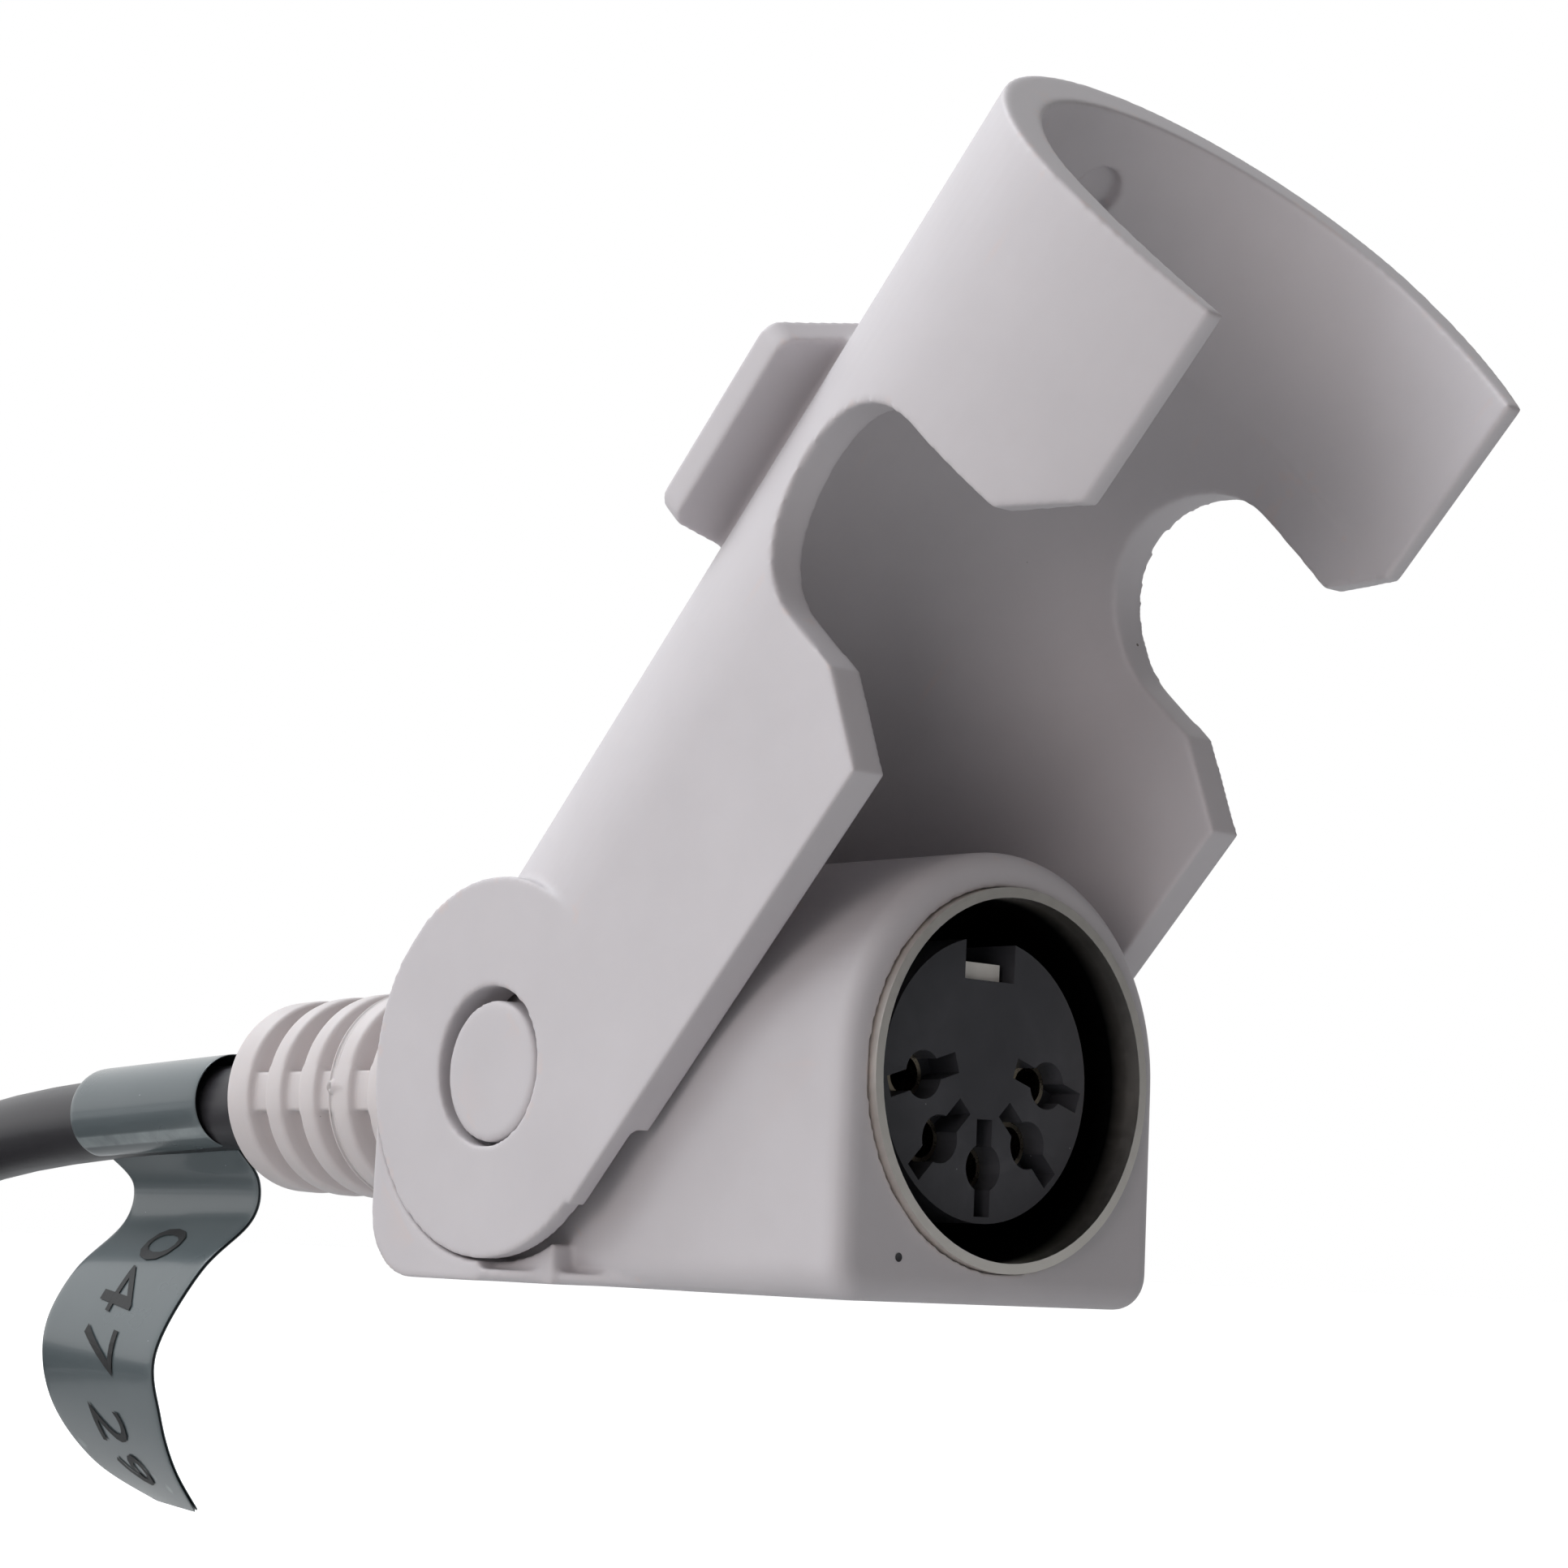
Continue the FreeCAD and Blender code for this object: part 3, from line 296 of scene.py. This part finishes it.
finishes = {
    "housing_plastic": mouldedFinish("housingPlastic", casePlastic),
    "clip_plastic": mouldedFinish("clipPlastic", casePlastic),
    "insert_plastic": mouldedFinish("insertPlastic", insertPlastic),
    "cap_plastic": mouldedFinish("capPlastic", {**insertPlastic, "mottle": 300.0}),
    "boot_rubber": mouldedFinish("bootRubber", bootRubber),
    "plug_boot_rubber": mouldedFinish("plugBootRubber", bootRubber),
    "plug_plastic": mouldedFinish("plugPlastic", casePlastic),
    "lead_jacket": mouldedFinish("leadJacket", leadJacket),
    "tie_strap": mouldedFinish("tieStrap", strapPlastic),
    "label_vinyl": mouldedFinish("labelVinyl", labelVinyl),
    "nickel_shell": metalFinish("nickelPlate", {**nickelPlate, **paintedMouthShade}),
    "plug_nickel": metalFinish("plugNickel", nickelPlate),
    "spring_strip": metalFinish("springStrip", {**nickelPlate, "metal": 0.25}),
    "contact_metal": metalFinish("contactPlate", contactPlate),
    "ferrule_metal": metalFinish("ferruleMetal", contactPlate),
    "core_white": mouldedFinish("coreWhite", wireLook(0.76, 0.76, 0.74)),
    "core_brown": mouldedFinish("coreBrown", wireLook(0.17, 0.07, 0.03)),
    "core_green": mouldedFinish("coreGreen", wireLook(0.04, 0.25, 0.09)),
    "core_yellow": mouldedFinish("coreYellow", wireLook(0.72, 0.55, 0.07)),
    "core_grey": mouldedFinish("coreGrey", wireLook(0.27, 0.27, 0.29)),
}
for part in frame["record"]["subparts"]:
    mesh = frame["nodes"][part["node"]].data
    mesh.materials.clear()
    mesh.materials.append(finishes[part["material_slot"]])
print("finishes made:", len(finishes))


def dress(piece, slotName, body="connector"):
    piece.data.materials.clear()
    piece.data.materials.append(finishes[slotName])
    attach(piece, body)
    return piece


# the lead: out of the boot, down onto its coil's upper turns, round them and into the far plug
leadSet = {
    "radius": 2.15,
    "route": [(-21.6, 0, -0.5), (-55, 0, -0.5)],
    "coilMiddle": (-121.0, -14.8),
    "coilRadius": 21.5,
    "floor": -23.0,
    "entryAngle": 80,
    "entrySlope": 25,
    "entryStub": 10.0,
    "entryRun": 21.0,
    "exitAngle": 275,
    "exitStub": 20.0,
    "plugLevel": -14.4,
    "wholeTurns": 3, "perTurn": 18, "smooth": 8,
    "stepOut": (705, 760), "stepDown": (395, 445), "stepUp": (1020, 1075), "settle": (80, 110),
    "settleLift": 0.5, "exitLead": 1.5, "exitDrop": 1.9, "exitShares": (0.42, 0.75, 1.0),
}


def easeBetween(start, stop, here):
    share = min(max((here - start) / (stop - start), 0), 1)
    return share * share * (3 - 2 * share)


def coilSpot(angle, radius, level):
    radians = math.radians(angle)
    middleX, middleY = leadSet["coilMiddle"]
    return Vector((middleX + radius * math.cos(radians), middleY + radius * math.sin(radians), level))


def coilWay(angle):
    radians = math.radians(angle)
    return Vector((-math.sin(radians), math.cos(radians), 0))


def leadPoints():
    look = leadSet
    cord = look["radius"]
    low, high = look["floor"] + cord, look["floor"] + 3 * cord
    inner, outer = look["coilRadius"] - cord, look["coilRadius"] + cord
    slope = math.radians(look["entrySlope"])
    entry = coilSpot(look["entryAngle"], look["coilRadius"], high)
    way = coilWay(look["entryAngle"]) * math.cos(slope) - Vector((0, 0, math.sin(slope)))
    points = [Vector(point) for point in look["route"]]
    finish = entry - way * look["entryStub"]
    points += [finish - way * look["entryRun"], finish]
    step = 360 / look["perTurn"]
    swell = 1 / math.cos(math.radians(step / 2)) ** 1.5  # a smooth line runs inside its points
    angle = look["entryAngle"]
    while angle < look["exitAngle"] + 360 * look["wholeTurns"]:
        radius = inner + (outer - inner) * easeBetween(*look["stepOut"], angle)
        level = high - (high - low) * easeBetween(*look["stepDown"], angle)
        level += (high - low) * easeBetween(*look["stepUp"], angle)
        level += look["settleLift"] * (1 - easeBetween(*look["settle"], angle))
        points.append(coilSpot(angle, radius * swell, level))
        angle += step
    away = coilSpot(look["exitAngle"], outer, look["plugLevel"])
    run = coilWay(look["exitAngle"])
    points.append(away + run * look["exitLead"] - Vector((0, 0, look["exitDrop"])))
    for share in look["exitShares"]:
        points.append(away + run * look["exitStub"] * share)
    return points


def addLead():
    points = leadPoints()
    curve = bpy.data.curves.new("lead", "CURVE")
    curve.dimensions = "3D"
    curve.bevel_depth = leadSet["radius"] * mm
    curve.bevel_resolution = curve.resolution_u = leadSet["smooth"]
    curve.use_fill_caps = True
    line = curve.splines.new("NURBS")
    line.points.add(len(points) - 1)
    for place, point in zip(line.points, points):
        place.co = (*(point * mm), 1)
    line.order_u = 3
    line.use_endpoint_u = True
    lead = bpy.data.objects.new("lead", curve)
    scene.collection.objects.link(lead)
    dress(lead, "lead_jacket")
    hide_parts("lead_cord", "cord_coil")
    return lead


lead = addLead()
print("lead laid")


def finishShape(piece):
    # keep what the modifiers make and drop them
    bpy.context.view_layer.update()
    made = bpy.data.meshes.new_from_object(piece.evaluated_get(bpy.context.evaluated_depsgraph_get()))
    piece.modifiers.clear()
    old = piece.data
    piece.data = made
    bpy.data.meshes.remove(old)
    return made


footSet = {
    "start": -19.9, "finish": -10.6, "wide": 10.7, "narrow": 7.9, "inner": 6.5,
    "stations": 40, "straight": 0.03,
    "top": -8.22, "low": -8.7, "section": [(-0.4, -8.7), (-0.1, -8.6), (0.0, -8.42), (0.0, -8.22)],
}


def footRamps():
    # the cheek's foot runs out into the housing's side in one soft sweep
    corners, faces = [], []
    for side in (-1, 1):
        rings = []
        for step in range(footSet["stations"] + 1):
            share = step / footSet["stations"]
            x = footSet["start"] + (footSet["finish"] - footSet["start"]) * share
            draw = easeBetween(footSet["straight"], 1.0, share)
            reach = footSet["wide"] + (footSet["narrow"] - footSet["wide"]) * draw
            ring = [(x, side * footSet["inner"], level) for level in (footSet["top"], footSet["low"])]
            ring += [(x, side * (reach + pull), level) for pull, level in footSet["section"]]
            rings.append([len(corners) + number for number in range(len(ring))])
            corners += ring
        for near, far in zip(rings, rings[1:]):
            for number in range(len(near)):
                after = (number + 1) % len(near)
                faces.append((near[number], near[after], far[after], far[number]))
        faces += [tuple(rings[0]), tuple(rings[-1])]
    return corners, faces


skinSet = {"weldGap": 0.002, "softenBy": 0.5}  # in millimetres, as mouldedCopy works


def mouldedCopy(name, node, slotName, body, shape, added=None):
    # a moulded part's real surface: even skin with softly rounded edges
    mesh = frame["nodes"][node].data.copy()
    mesh.transform(Matrix.Scale(1 / mm, 4))
    if added:
        extra = bpy.data.meshes.new(name + "Added")
        extra.from_pydata(added[0], [], added[1])
        whole = bmesh.new()
        whole.from_mesh(mesh)
        whole.from_mesh(extra)
        whole.faces.ensure_lookup_table()
        bmesh.ops.recalc_face_normals(whole, faces=whole.faces[len(mesh.polygons):])
        whole.to_mesh(mesh)
        whole.free()
    level = Matrix.Rotation(math.radians(shape.get("tilt", 0)), 4, "Y")  # long edges lie along the grid
    mesh.transform(level)
    piece = bpy.data.objects.new(name, mesh)
    scene.collection.objects.link(piece)
    piece.modifiers.new("join", "WELD").merge_threshold = skinSet["weldGap"]
    even = piece.modifiers.new("even", "REMESH")
    even.mode = "VOXEL"
    even.voxel_size = shape["skin"]
    soften = piece.modifiers.new("soften", "SMOOTH")
    soften.factor = skinSet["softenBy"]
    soften.iterations = shape["soften"]
    thin = piece.modifiers.new("thin", "DECIMATE")
    thin.ratio = shape["keep"]
    made = finishShape(piece)
    made.transform(level.inverted())
    made.transform(Matrix.Scale(mm, 4))
    made.shade_smooth()
    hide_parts(node)
    print(name, "made,", len(made.polygons), "faces")
    return dress(piece, slotName, body)


clipShape = {"skin": 0.13, "soften": 7, "keep": 0.24, "tilt": 46.3}
housingShape = {"skin": 0.14, "soften": 5, "keep": 0.4}
mouldedCopy("lockingClip", "locking_clip", "clip_plastic", "clip", clipShape)
mouldedCopy("socketHousing", "housing", "housing_plastic", "connector", housingShape, footRamps())

bootSet = {
    "root": -27.04, "tip": -48.44, "drop": -0.5,
    "rootRadius": 5.35, "tipRadius": 4.6, "tipRound": 0.7, "roundSteps": 8,
    "bore": 2.3, "boreEdge": 0.12, "spigotRadius": 3.6, "spigotEnd": -25.44, "spigotEdge": 0.1,
    "grooveStart": -46.19, "groovePitch": 2.9, "grooveCount": 6, "grooveWidth": 1.55, "floorRadius": 3.5,
    "webHalf": 1.12, "webDrop": 0.42, "webEdge": 0.16,
    "lip": [(-0.34, 0.0), (-0.2, 0.02), (-0.09, 0.07), (-0.02, 0.17),  # offset across a groove's edge, sink
            (0.03, 0.5), (0.07, 0.85), (0.14, 0.97), (0.26, 1.0)],
    "gate": (-38.8, 0.12), "gateReach": 0.36, "gateRise": 0.2, "gateDip": 0.5,
    "gateClear": 0.6, "gateStep": 0.07, "gateSteps": 4,
    "rootGap": 0.02, "rootStep": 0.5, "rootSteps": 6, "tipLead": 0.3, "turns": 288,
}


def bootStations():
    # places along the boot, each with how far its groove has sunk
    look = bootSet
    root = look["root"] - look["rootGap"]
    stations = [(root - look["rootStep"] * step, 0.0) for step in range(look["rootSteps"])]
    for number in range(look["grooveCount"]):
        start = look["grooveStart"] + look["groovePitch"] * number
        stations += [(start + look["grooveWidth"] - offset, sink) for offset, sink in look["lip"]]
        stations += [(start + offset, sink) for offset, sink in look["lip"]]
    gateX, steps = look["gate"][0], look["gateSteps"]
    stations = [entry for entry in stations if abs(entry[0] - gateX) > look["gateClear"] or entry[1] > 0.0]
    stations += [(gateX + look["gateStep"] * step, 0.0) for step in range(-steps, steps + 1)]
    stations.append((look["tip"] + look["tipRound"] + look["tipLead"], 0.0))
    return sorted(stations, reverse=True)


def bootRadius(x):
    tipX = bootSet["tip"] + bootSet["tipRound"]
    share = (bootSet["root"] - x) / (bootSet["root"] - tipX)
    return bootSet["rootRadius"] + (bootSet["tipRadius"] - bootSet["rootRadius"]) * share


def bootSurface(x, sink, angle):
    # the skin's radius here: ribs, grooves between them, a shallow web on each side, one gate mark
    full = bootRadius(x)
    high = full * math.sin(angle)
    half, edge = bootSet["webHalf"], bootSet["webEdge"]
    web = 1 - easeBetween(half - edge, half + edge, abs(high))
    deep = web * bootSet["webDrop"] + (1 - web) * (full - bootSet["floorRadius"])
    radius = full - sink * deep
    if math.cos(angle) < 0:
        away = math.hypot(x - bootSet["gate"][0], high - bootSet["gate"][1]) / bootSet["gateReach"]
        if away < 1:
            ring, dip = math.sin(math.pi * away) ** 2, bootSet["gateDip"] * (1 - away) ** 2
            radius += bootSet["gateRise"] * (ring - dip)
    return radius


def addBoot():
    # the strain relief: ribs with rounded lips that two webs tie together
    look, turns = bootSet, bootSet["turns"]
    angles = [2 * math.pi * turn / turns for turn in range(turns)]
    end, spigot, edge = look["spigotEnd"], look["spigotRadius"], look["spigotEdge"]
    plain = [(end, look["bore"]), (end, spigot - edge), (end - edge, spigot),
             (look["root"], spigot), (look["root"], look["rootRadius"])]
    rings = [[(x, radius)] * turns for x, radius in plain]
    for x, sink in bootStations():
        rings.append([(x, bootSurface(x, sink, angle)) for angle in angles])
    for step in range(look["roundSteps"] + 1):
        bend = math.pi / 2 * step / look["roundSteps"]
        rings.append([(look["tip"] + look["tipRound"] * (1 - math.sin(bend)),
                       look["tipRadius"] - look["tipRound"] * (1 - math.cos(bend)))] * turns)
    rings.append([(look["tip"], look["bore"] + look["boreEdge"])] * turns)
    rings.append([(look["tip"] + look["boreEdge"], look["bore"])] * turns)
    shape = bmesh.new()
    grid = [[shape.verts.new(spot(x, radius * math.cos(angle), look["drop"] + radius * math.sin(angle)))
             for (x, radius), angle in zip(ring, angles)] for ring in rings]
    for place, ring in enumerate(grid):
        after = grid[(place + 1) % len(grid)]
        for turn in range(turns):
            following = (turn + 1) % turns
            shape.faces.new((ring[turn], ring[following], after[following], after[turn]))
    bmesh.ops.recalc_face_normals(shape, faces=shape.faces)
    mesh = bpy.data.meshes.new("strainBoot")
    shape.to_mesh(mesh)
    shape.free()
    mesh.shade_smooth()
    boot = bpy.data.objects.new("strainBoot", mesh)
    scene.collection.objects.link(boot)
    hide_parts("strain_relief_boot")
    print("strainBoot made,", len(mesh.polygons), "faces")
    return dress(boot, "boot_rubber")


addBoot()
plugShape = {"skin": 0.22, "soften": 5, "keep": 0.3}
plugBoot = mouldedCopy("plugBoot", "plug_boot", "plug_boot_rubber", "connector", plugShape)
plugGrip = mouldedCopy("plugGrip", "plug_body", "plug_plastic", "connector", plugShape)
strapShape = {"skin": 0.2, "soften": 4, "keep": 0.5}
strap = mouldedCopy("coilStrap", "coil_tie", "tie_strap", "connector", strapShape)

ventShadeSet = {
    "place": (0.015, -5.6, -7.04), "radius": 0.13, "deep": 0.012, "turns": 24,
    "rings": [(1.35, 0.0), (1.0, -0.25), (0.6, -0.8), (0.15, -1.0)],  # shares of the radius and depth
}


def addVentShade():
    # a pin hole low on the front face: a barely sunk black disc, painted shade for the hole's dark inside
    x, y, z = ventShadeSet["place"]
    turns = ventShadeSet["turns"]
    shape = bmesh.new()
    rings = []
    for reach, rise in ventShadeSet["rings"]:
        radius = ventShadeSet["radius"] * reach
        angles = [2 * math.pi * turn / turns for turn in range(turns)]
        rings.append([shape.verts.new(spot(
            x + ventShadeSet["deep"] * rise, y + radius * math.cos(angle), z + radius * math.sin(angle),
        )) for angle in angles])
    for outer, inner in zip(rings, rings[1:]):
        for turn in range(turns):
            after = (turn + 1) % turns
            shape.faces.new((outer[turn], outer[after], inner[after], inner[turn]))
    shape.faces.new(rings[-1])
    mesh = bpy.data.meshes.new("ventHoleShade")
    shape.to_mesh(mesh)
    shape.free()
    ventShade = bpy.data.objects.new("ventHoleShade", mesh)
    scene.collection.objects.link(ventShade)
    return dress(ventShade, "lead_jacket")


addVentShade()

# the flag label: one vinyl strip round the lead, its two ends stuck together and curled
labelSet = {
    "sleeveHead": (-54.2, -0.05, -0.68), "sleeveTail": (-66.4, 0.1, -1.3),
    "sleeveRadius": 2.34,
    "flagNear": -53.9, "flagFar": -65.7,
    "nearEdge": [(0.3, -2.95), (1.5, -4.6), (1.2, -6.6), (-1.6, -9.2), (-3.9, -13.2), (-3.4, -16.3),
                 (-2.4, -18.8), (-0.9, -20.9)],
    "farEdge": [(0.3, -3.4), (1.55, -4.9), (1.1, -7.0), (-1.7, -9.6), (-3.2, -12.7), (-2.5, -16.1),
                (0.3, -19.2), (4.3, -21.3)],
    "layerGap": 0.07,
    "thick": 0.08,
    "along": 46, "across": 14,
    "slopeStep": (0.01, 0.05),
    "sleeveStart": 270, "sleeveStep": 12,
    "pullDown": 0.16,
    "digits": "047 29", "digitSize": 4.896, "digitSpace": 1.08, "digitSlant": 0.12,
    "digitStart": (0.3, 0.62), "digitReach": (24.0, 12.0), "digitSide": 2.4, "digitEdge": 0.45,
}


def smoothLine(points, share):
    # a point on a smooth line through these, share from 0 to 1
    spans = len(points) - 1
    place = min(share * spans, spans - 1e-6)
    index = int(place)
    part = place - index
    around = [points[min(max(index + shift, 0), spans)] for shift in (-1, 0, 1, 2)]
    found = []
    for a, b, c, d in zip(*around):
        found.append(0.5 * (2 * b + (c - a) * part + (2 * a - 5 * b + 4 * c - d) * part ** 2
                            + (3 * b - a - 3 * c + d) * part ** 3))
    return found


def flagPoint(down, over, side):
    # down the flag, over it from near to far edge, and which of the two layers
    def onFlag(share, width):
        near, far = smoothLine(labelSet["nearEdge"], share), smoothLine(labelSet["farEdge"], share)
        pull = 1 - easeBetween(0.0, labelSet["pullDown"], share)  # the strip leaves the sleeve a little askew
        nearX = labelSet["flagNear"] + (labelSet["sleeveHead"][0] - labelSet["flagNear"]) * pull
        farX = labelSet["flagFar"] + (labelSet["sleeveTail"][0] - labelSet["flagFar"]) * pull
        return Vector((nearX + (farX - nearX) * width, near[0] + (far[0] - near[0]) * width,
                       near[1] + (far[1] - near[1]) * width))
    here = onFlag(down, over)
    stepDown, stepOver = labelSet["slopeStep"]
    later, earlier = onFlag(min(down + stepDown, 1), over), onFlag(max(down - stepDown, 0), over)
    wider, narrower = onFlag(down, min(over + stepOver, 1)), onFlag(down, max(over - stepOver, 0))
    out = (later - earlier).cross(wider - narrower).normalized()
    if out.y > 0:
        out = -out
    return here + out * labelSet["layerGap"] * side


def sleevePoint(turn, over):
    head, tail = Vector(labelSet["sleeveHead"]), Vector(labelSet["sleeveTail"])
    middle = head + (tail - head) * over
    radians = math.radians(turn)
    radius = labelSet["sleeveRadius"]
    return middle + Vector((0, radius * math.cos(radians), radius * math.sin(radians)))


def addLabel():
    look = labelSet
    rows = [1 - index / look["along"] for index in range(look["along"] + 1)]
    widths = [over / look["across"] for over in range(look["across"] + 1)]
    start, step = look["sleeveStart"], look["sleeveStep"]
    turns = range(start - step, start - 360, -step)
    rings = [[flagPoint(down, over, 1) for over in widths] for down in rows]
    rings += [[sleevePoint(turn, over) for over in widths] for turn in turns]
    rings += [[flagPoint(down, over, -1) for over in widths] for down in rows[::-1]]
    mesh = bpy.data.meshes.new("flagLabel")
    wide = look["across"] + 1
    faces = []
    for row in range(len(rings) - 1):
        for column in range(look["across"]):
            corner = row * wide + column
            faces.append((corner, corner + 1, corner + wide + 1, corner + wide))
    mesh.from_pydata([point * mm for ring in rings for point in ring], [], faces)
    label = bpy.data.objects.new("flagLabel", mesh)
    scene.collection.objects.link(label)
    thick = label.modifiers.new("thick", "SOLIDIFY")
    thick.thickness = look["thick"] * mm
    thick.offset = 0
    fine = label.modifiers.new("fine", "SUBSURF")
    fine.levels = fine.render_levels = 1
    finishShape(label).shade_smooth()
    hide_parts("flag_label")
    return dress(label, "label_vinyl")


labelInk = {
    "dark": (0.006, 0.006, 0.007, 1), "pale": (0.014, 0.015, 0.016, 1),
    "grain": 4000.0, "mottle": 900.0, "rough": 0.6,
}


def inkFinish(name, look):
    # matt print, nearly black
    material = bpy.data.materials.new(name)
    material.use_nodes = True
    tree = material.node_tree
    shader = tree.nodes["Principled BSDF"]
    grain = placeGroup(tree, grainGroup, grainScale=look["grain"], mottleScale=look["mottle"])
    inked = addMix(tree, "MIX", grain.outputs["mottle"], look["dark"], look["pale"])
    tree.links.new(inked, shader.inputs["Base Color"])
    shader.inputs["Roughness"].default_value = look["rough"]
    return material


def addDigits():
    look = labelSet
    text = bpy.data.curves.new("labelDigits", "FONT")
    text.body = look["digits"]
    text.size = look["digitSize"]
    text.space_character = look["digitSpace"]
    text.shear = look["digitSlant"]
    text.resolution_u = 3
    writing = bpy.data.objects.new("labelDigits", text)
    scene.collection.objects.link(writing)
    bpy.context.view_layer.update()
    mesh = bpy.data.meshes.new_from_object(writing.evaluated_get(bpy.context.evaluated_depsgraph_get()))
    bpy.data.objects.remove(writing)
    shape = bmesh.new()
    shape.from_mesh(mesh)
    bmesh.ops.triangulate(shape, faces=shape.faces[:])
    for _ in range(2):
        long = [edge for edge in shape.edges if edge.calc_length() > look["digitEdge"]]
        bmesh.ops.subdivide_edges(shape, edges=long, cuts=1)
    bmesh.ops.triangulate(shape, faces=shape.faces[:])
    startDown, startOver = look["digitStart"]
    reachDown, reachOver = look["digitReach"]
    for corner in shape.verts:
        down = startDown + corner.co.x / reachDown
        over = startOver - corner.co.y / reachOver
        corner.co = flagPoint(down, over, look["digitSide"]) * mm
    shape.to_mesh(mesh)
    shape.free()
    digits = bpy.data.objects.new("labelDigits", mesh)
    scene.collection.objects.link(digits)
    mesh.materials.clear()
    mesh.materials.append(inkFinish("printInk", labelInk))
    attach(digits, "connector")
    return digits


label = addLabel()
digits = addDigits()
print("label made")


floorSet = {
    "reach": 6, "gap": 0.0002,
    "colour": (0.62, 0.62, 0.62, 1), "rough": 0.9, "shine": 0.1, "lift": 0.72,
}


def addFloor():
    mesh = bpy.data.meshes.new("floor")
    low, reach = cadBox[0][2] - floorSet["gap"], floorSet["reach"]
    corners = [(-reach, -reach, low), (reach, -reach, low), (reach, reach, low), (-reach, reach, low)]
    mesh.from_pydata(corners, [], [(0, 1, 2, 3)])
    floor = bpy.data.objects.new("floor", mesh)
    scene.collection.objects.link(floor)
    paint = bpy.data.materials.new("floorPaint")
    paint.use_nodes = True
    tree = paint.node_tree
    shader = tree.nodes["Principled BSDF"]
    shader.inputs["Base Color"].default_value = floorSet["colour"]
    shader.inputs["Roughness"].default_value = floorSet["rough"]
    shader.inputs["Specular IOR Level"].default_value = floorSet["shine"]
    shader.inputs["Emission Color"].default_value = (1, 1, 1, 1)
    seen = tree.nodes.new("ShaderNodeLightPath")  # the lift is seen but lights nothing
    lift = addNode(tree, "ShaderNodeMath", operation="MULTIPLY")
    lift.inputs[1].default_value = floorSet["lift"]
    tree.links.new(seen.outputs["Is Camera Ray"], lift.inputs[0])
    tree.links.new(lift.outputs[0], shader.inputs["Emission Strength"])
    mesh.materials.append(paint)


studioSet = {
    "aim": (0, 0, 0.01),
    "fade": {"From Min": -0.55, "From Max": 0.7, "To Min": 1.0, "To Max": 0.05},
    "lamps": [("keySoft", (-0.17, -0.55, 0.42), 0.4, 0.85, (0.9, 0.96, 1.0)),  # place, size, watts, colour
              ("topSoft", (-0.3, -0.12, 0.5), 0.35, 1.7, (0.9, 0.96, 1.0)),
              ("frontSoft", (0.21, -0.62, 0.1), 0.3, 1.1, (1.0, 0.93, 0.91))],
}


def addLight(name, place, size, power, colour):
    data = bpy.data.lights.new(name, "AREA")
    data.shape = "SQUARE"
    data.size = size
    data.energy = power
    data.color = colour
    light = bpy.data.objects.new(name, data)
    scene.collection.objects.link(light)
    light.location = place
    light.rotation_euler = (Vector(studioSet["aim"]) - Vector(place)).to_track_quat("-Z", "Y").to_euler()


def addStudio():
    world = bpy.data.worlds.new("studio")
    scene.world = world
    world.use_nodes = True
    tree = world.node_tree
    sky = tree.nodes["Background"]
    sky.inputs["Color"].default_value = (1, 1, 1, 1)
    split = tree.nodes.new("ShaderNodeSeparateXYZ")
    tree.links.new(tree.nodes.new("ShaderNodeTexCoord").outputs["Generated"], split.inputs[0])
    fade = tree.nodes.new("ShaderNodeMapRange")  # the room darkens before the mouth
    fade.interpolation_type = "SMOOTHSTEP"
    for title, number in studioSet["fade"].items():
        fade.inputs[title].default_value = number
    tree.links.new(split.outputs["X"], fade.inputs["Value"])
    tree.links.new(fade.outputs["Result"], sky.inputs["Strength"])
    for lamp in studioSet["lamps"]:
        addLight(*lamp)
    scene.view_settings.view_transform = "Standard"
    scene.view_settings.look = "None"


addFloor()
addStudio()
print("studio set")
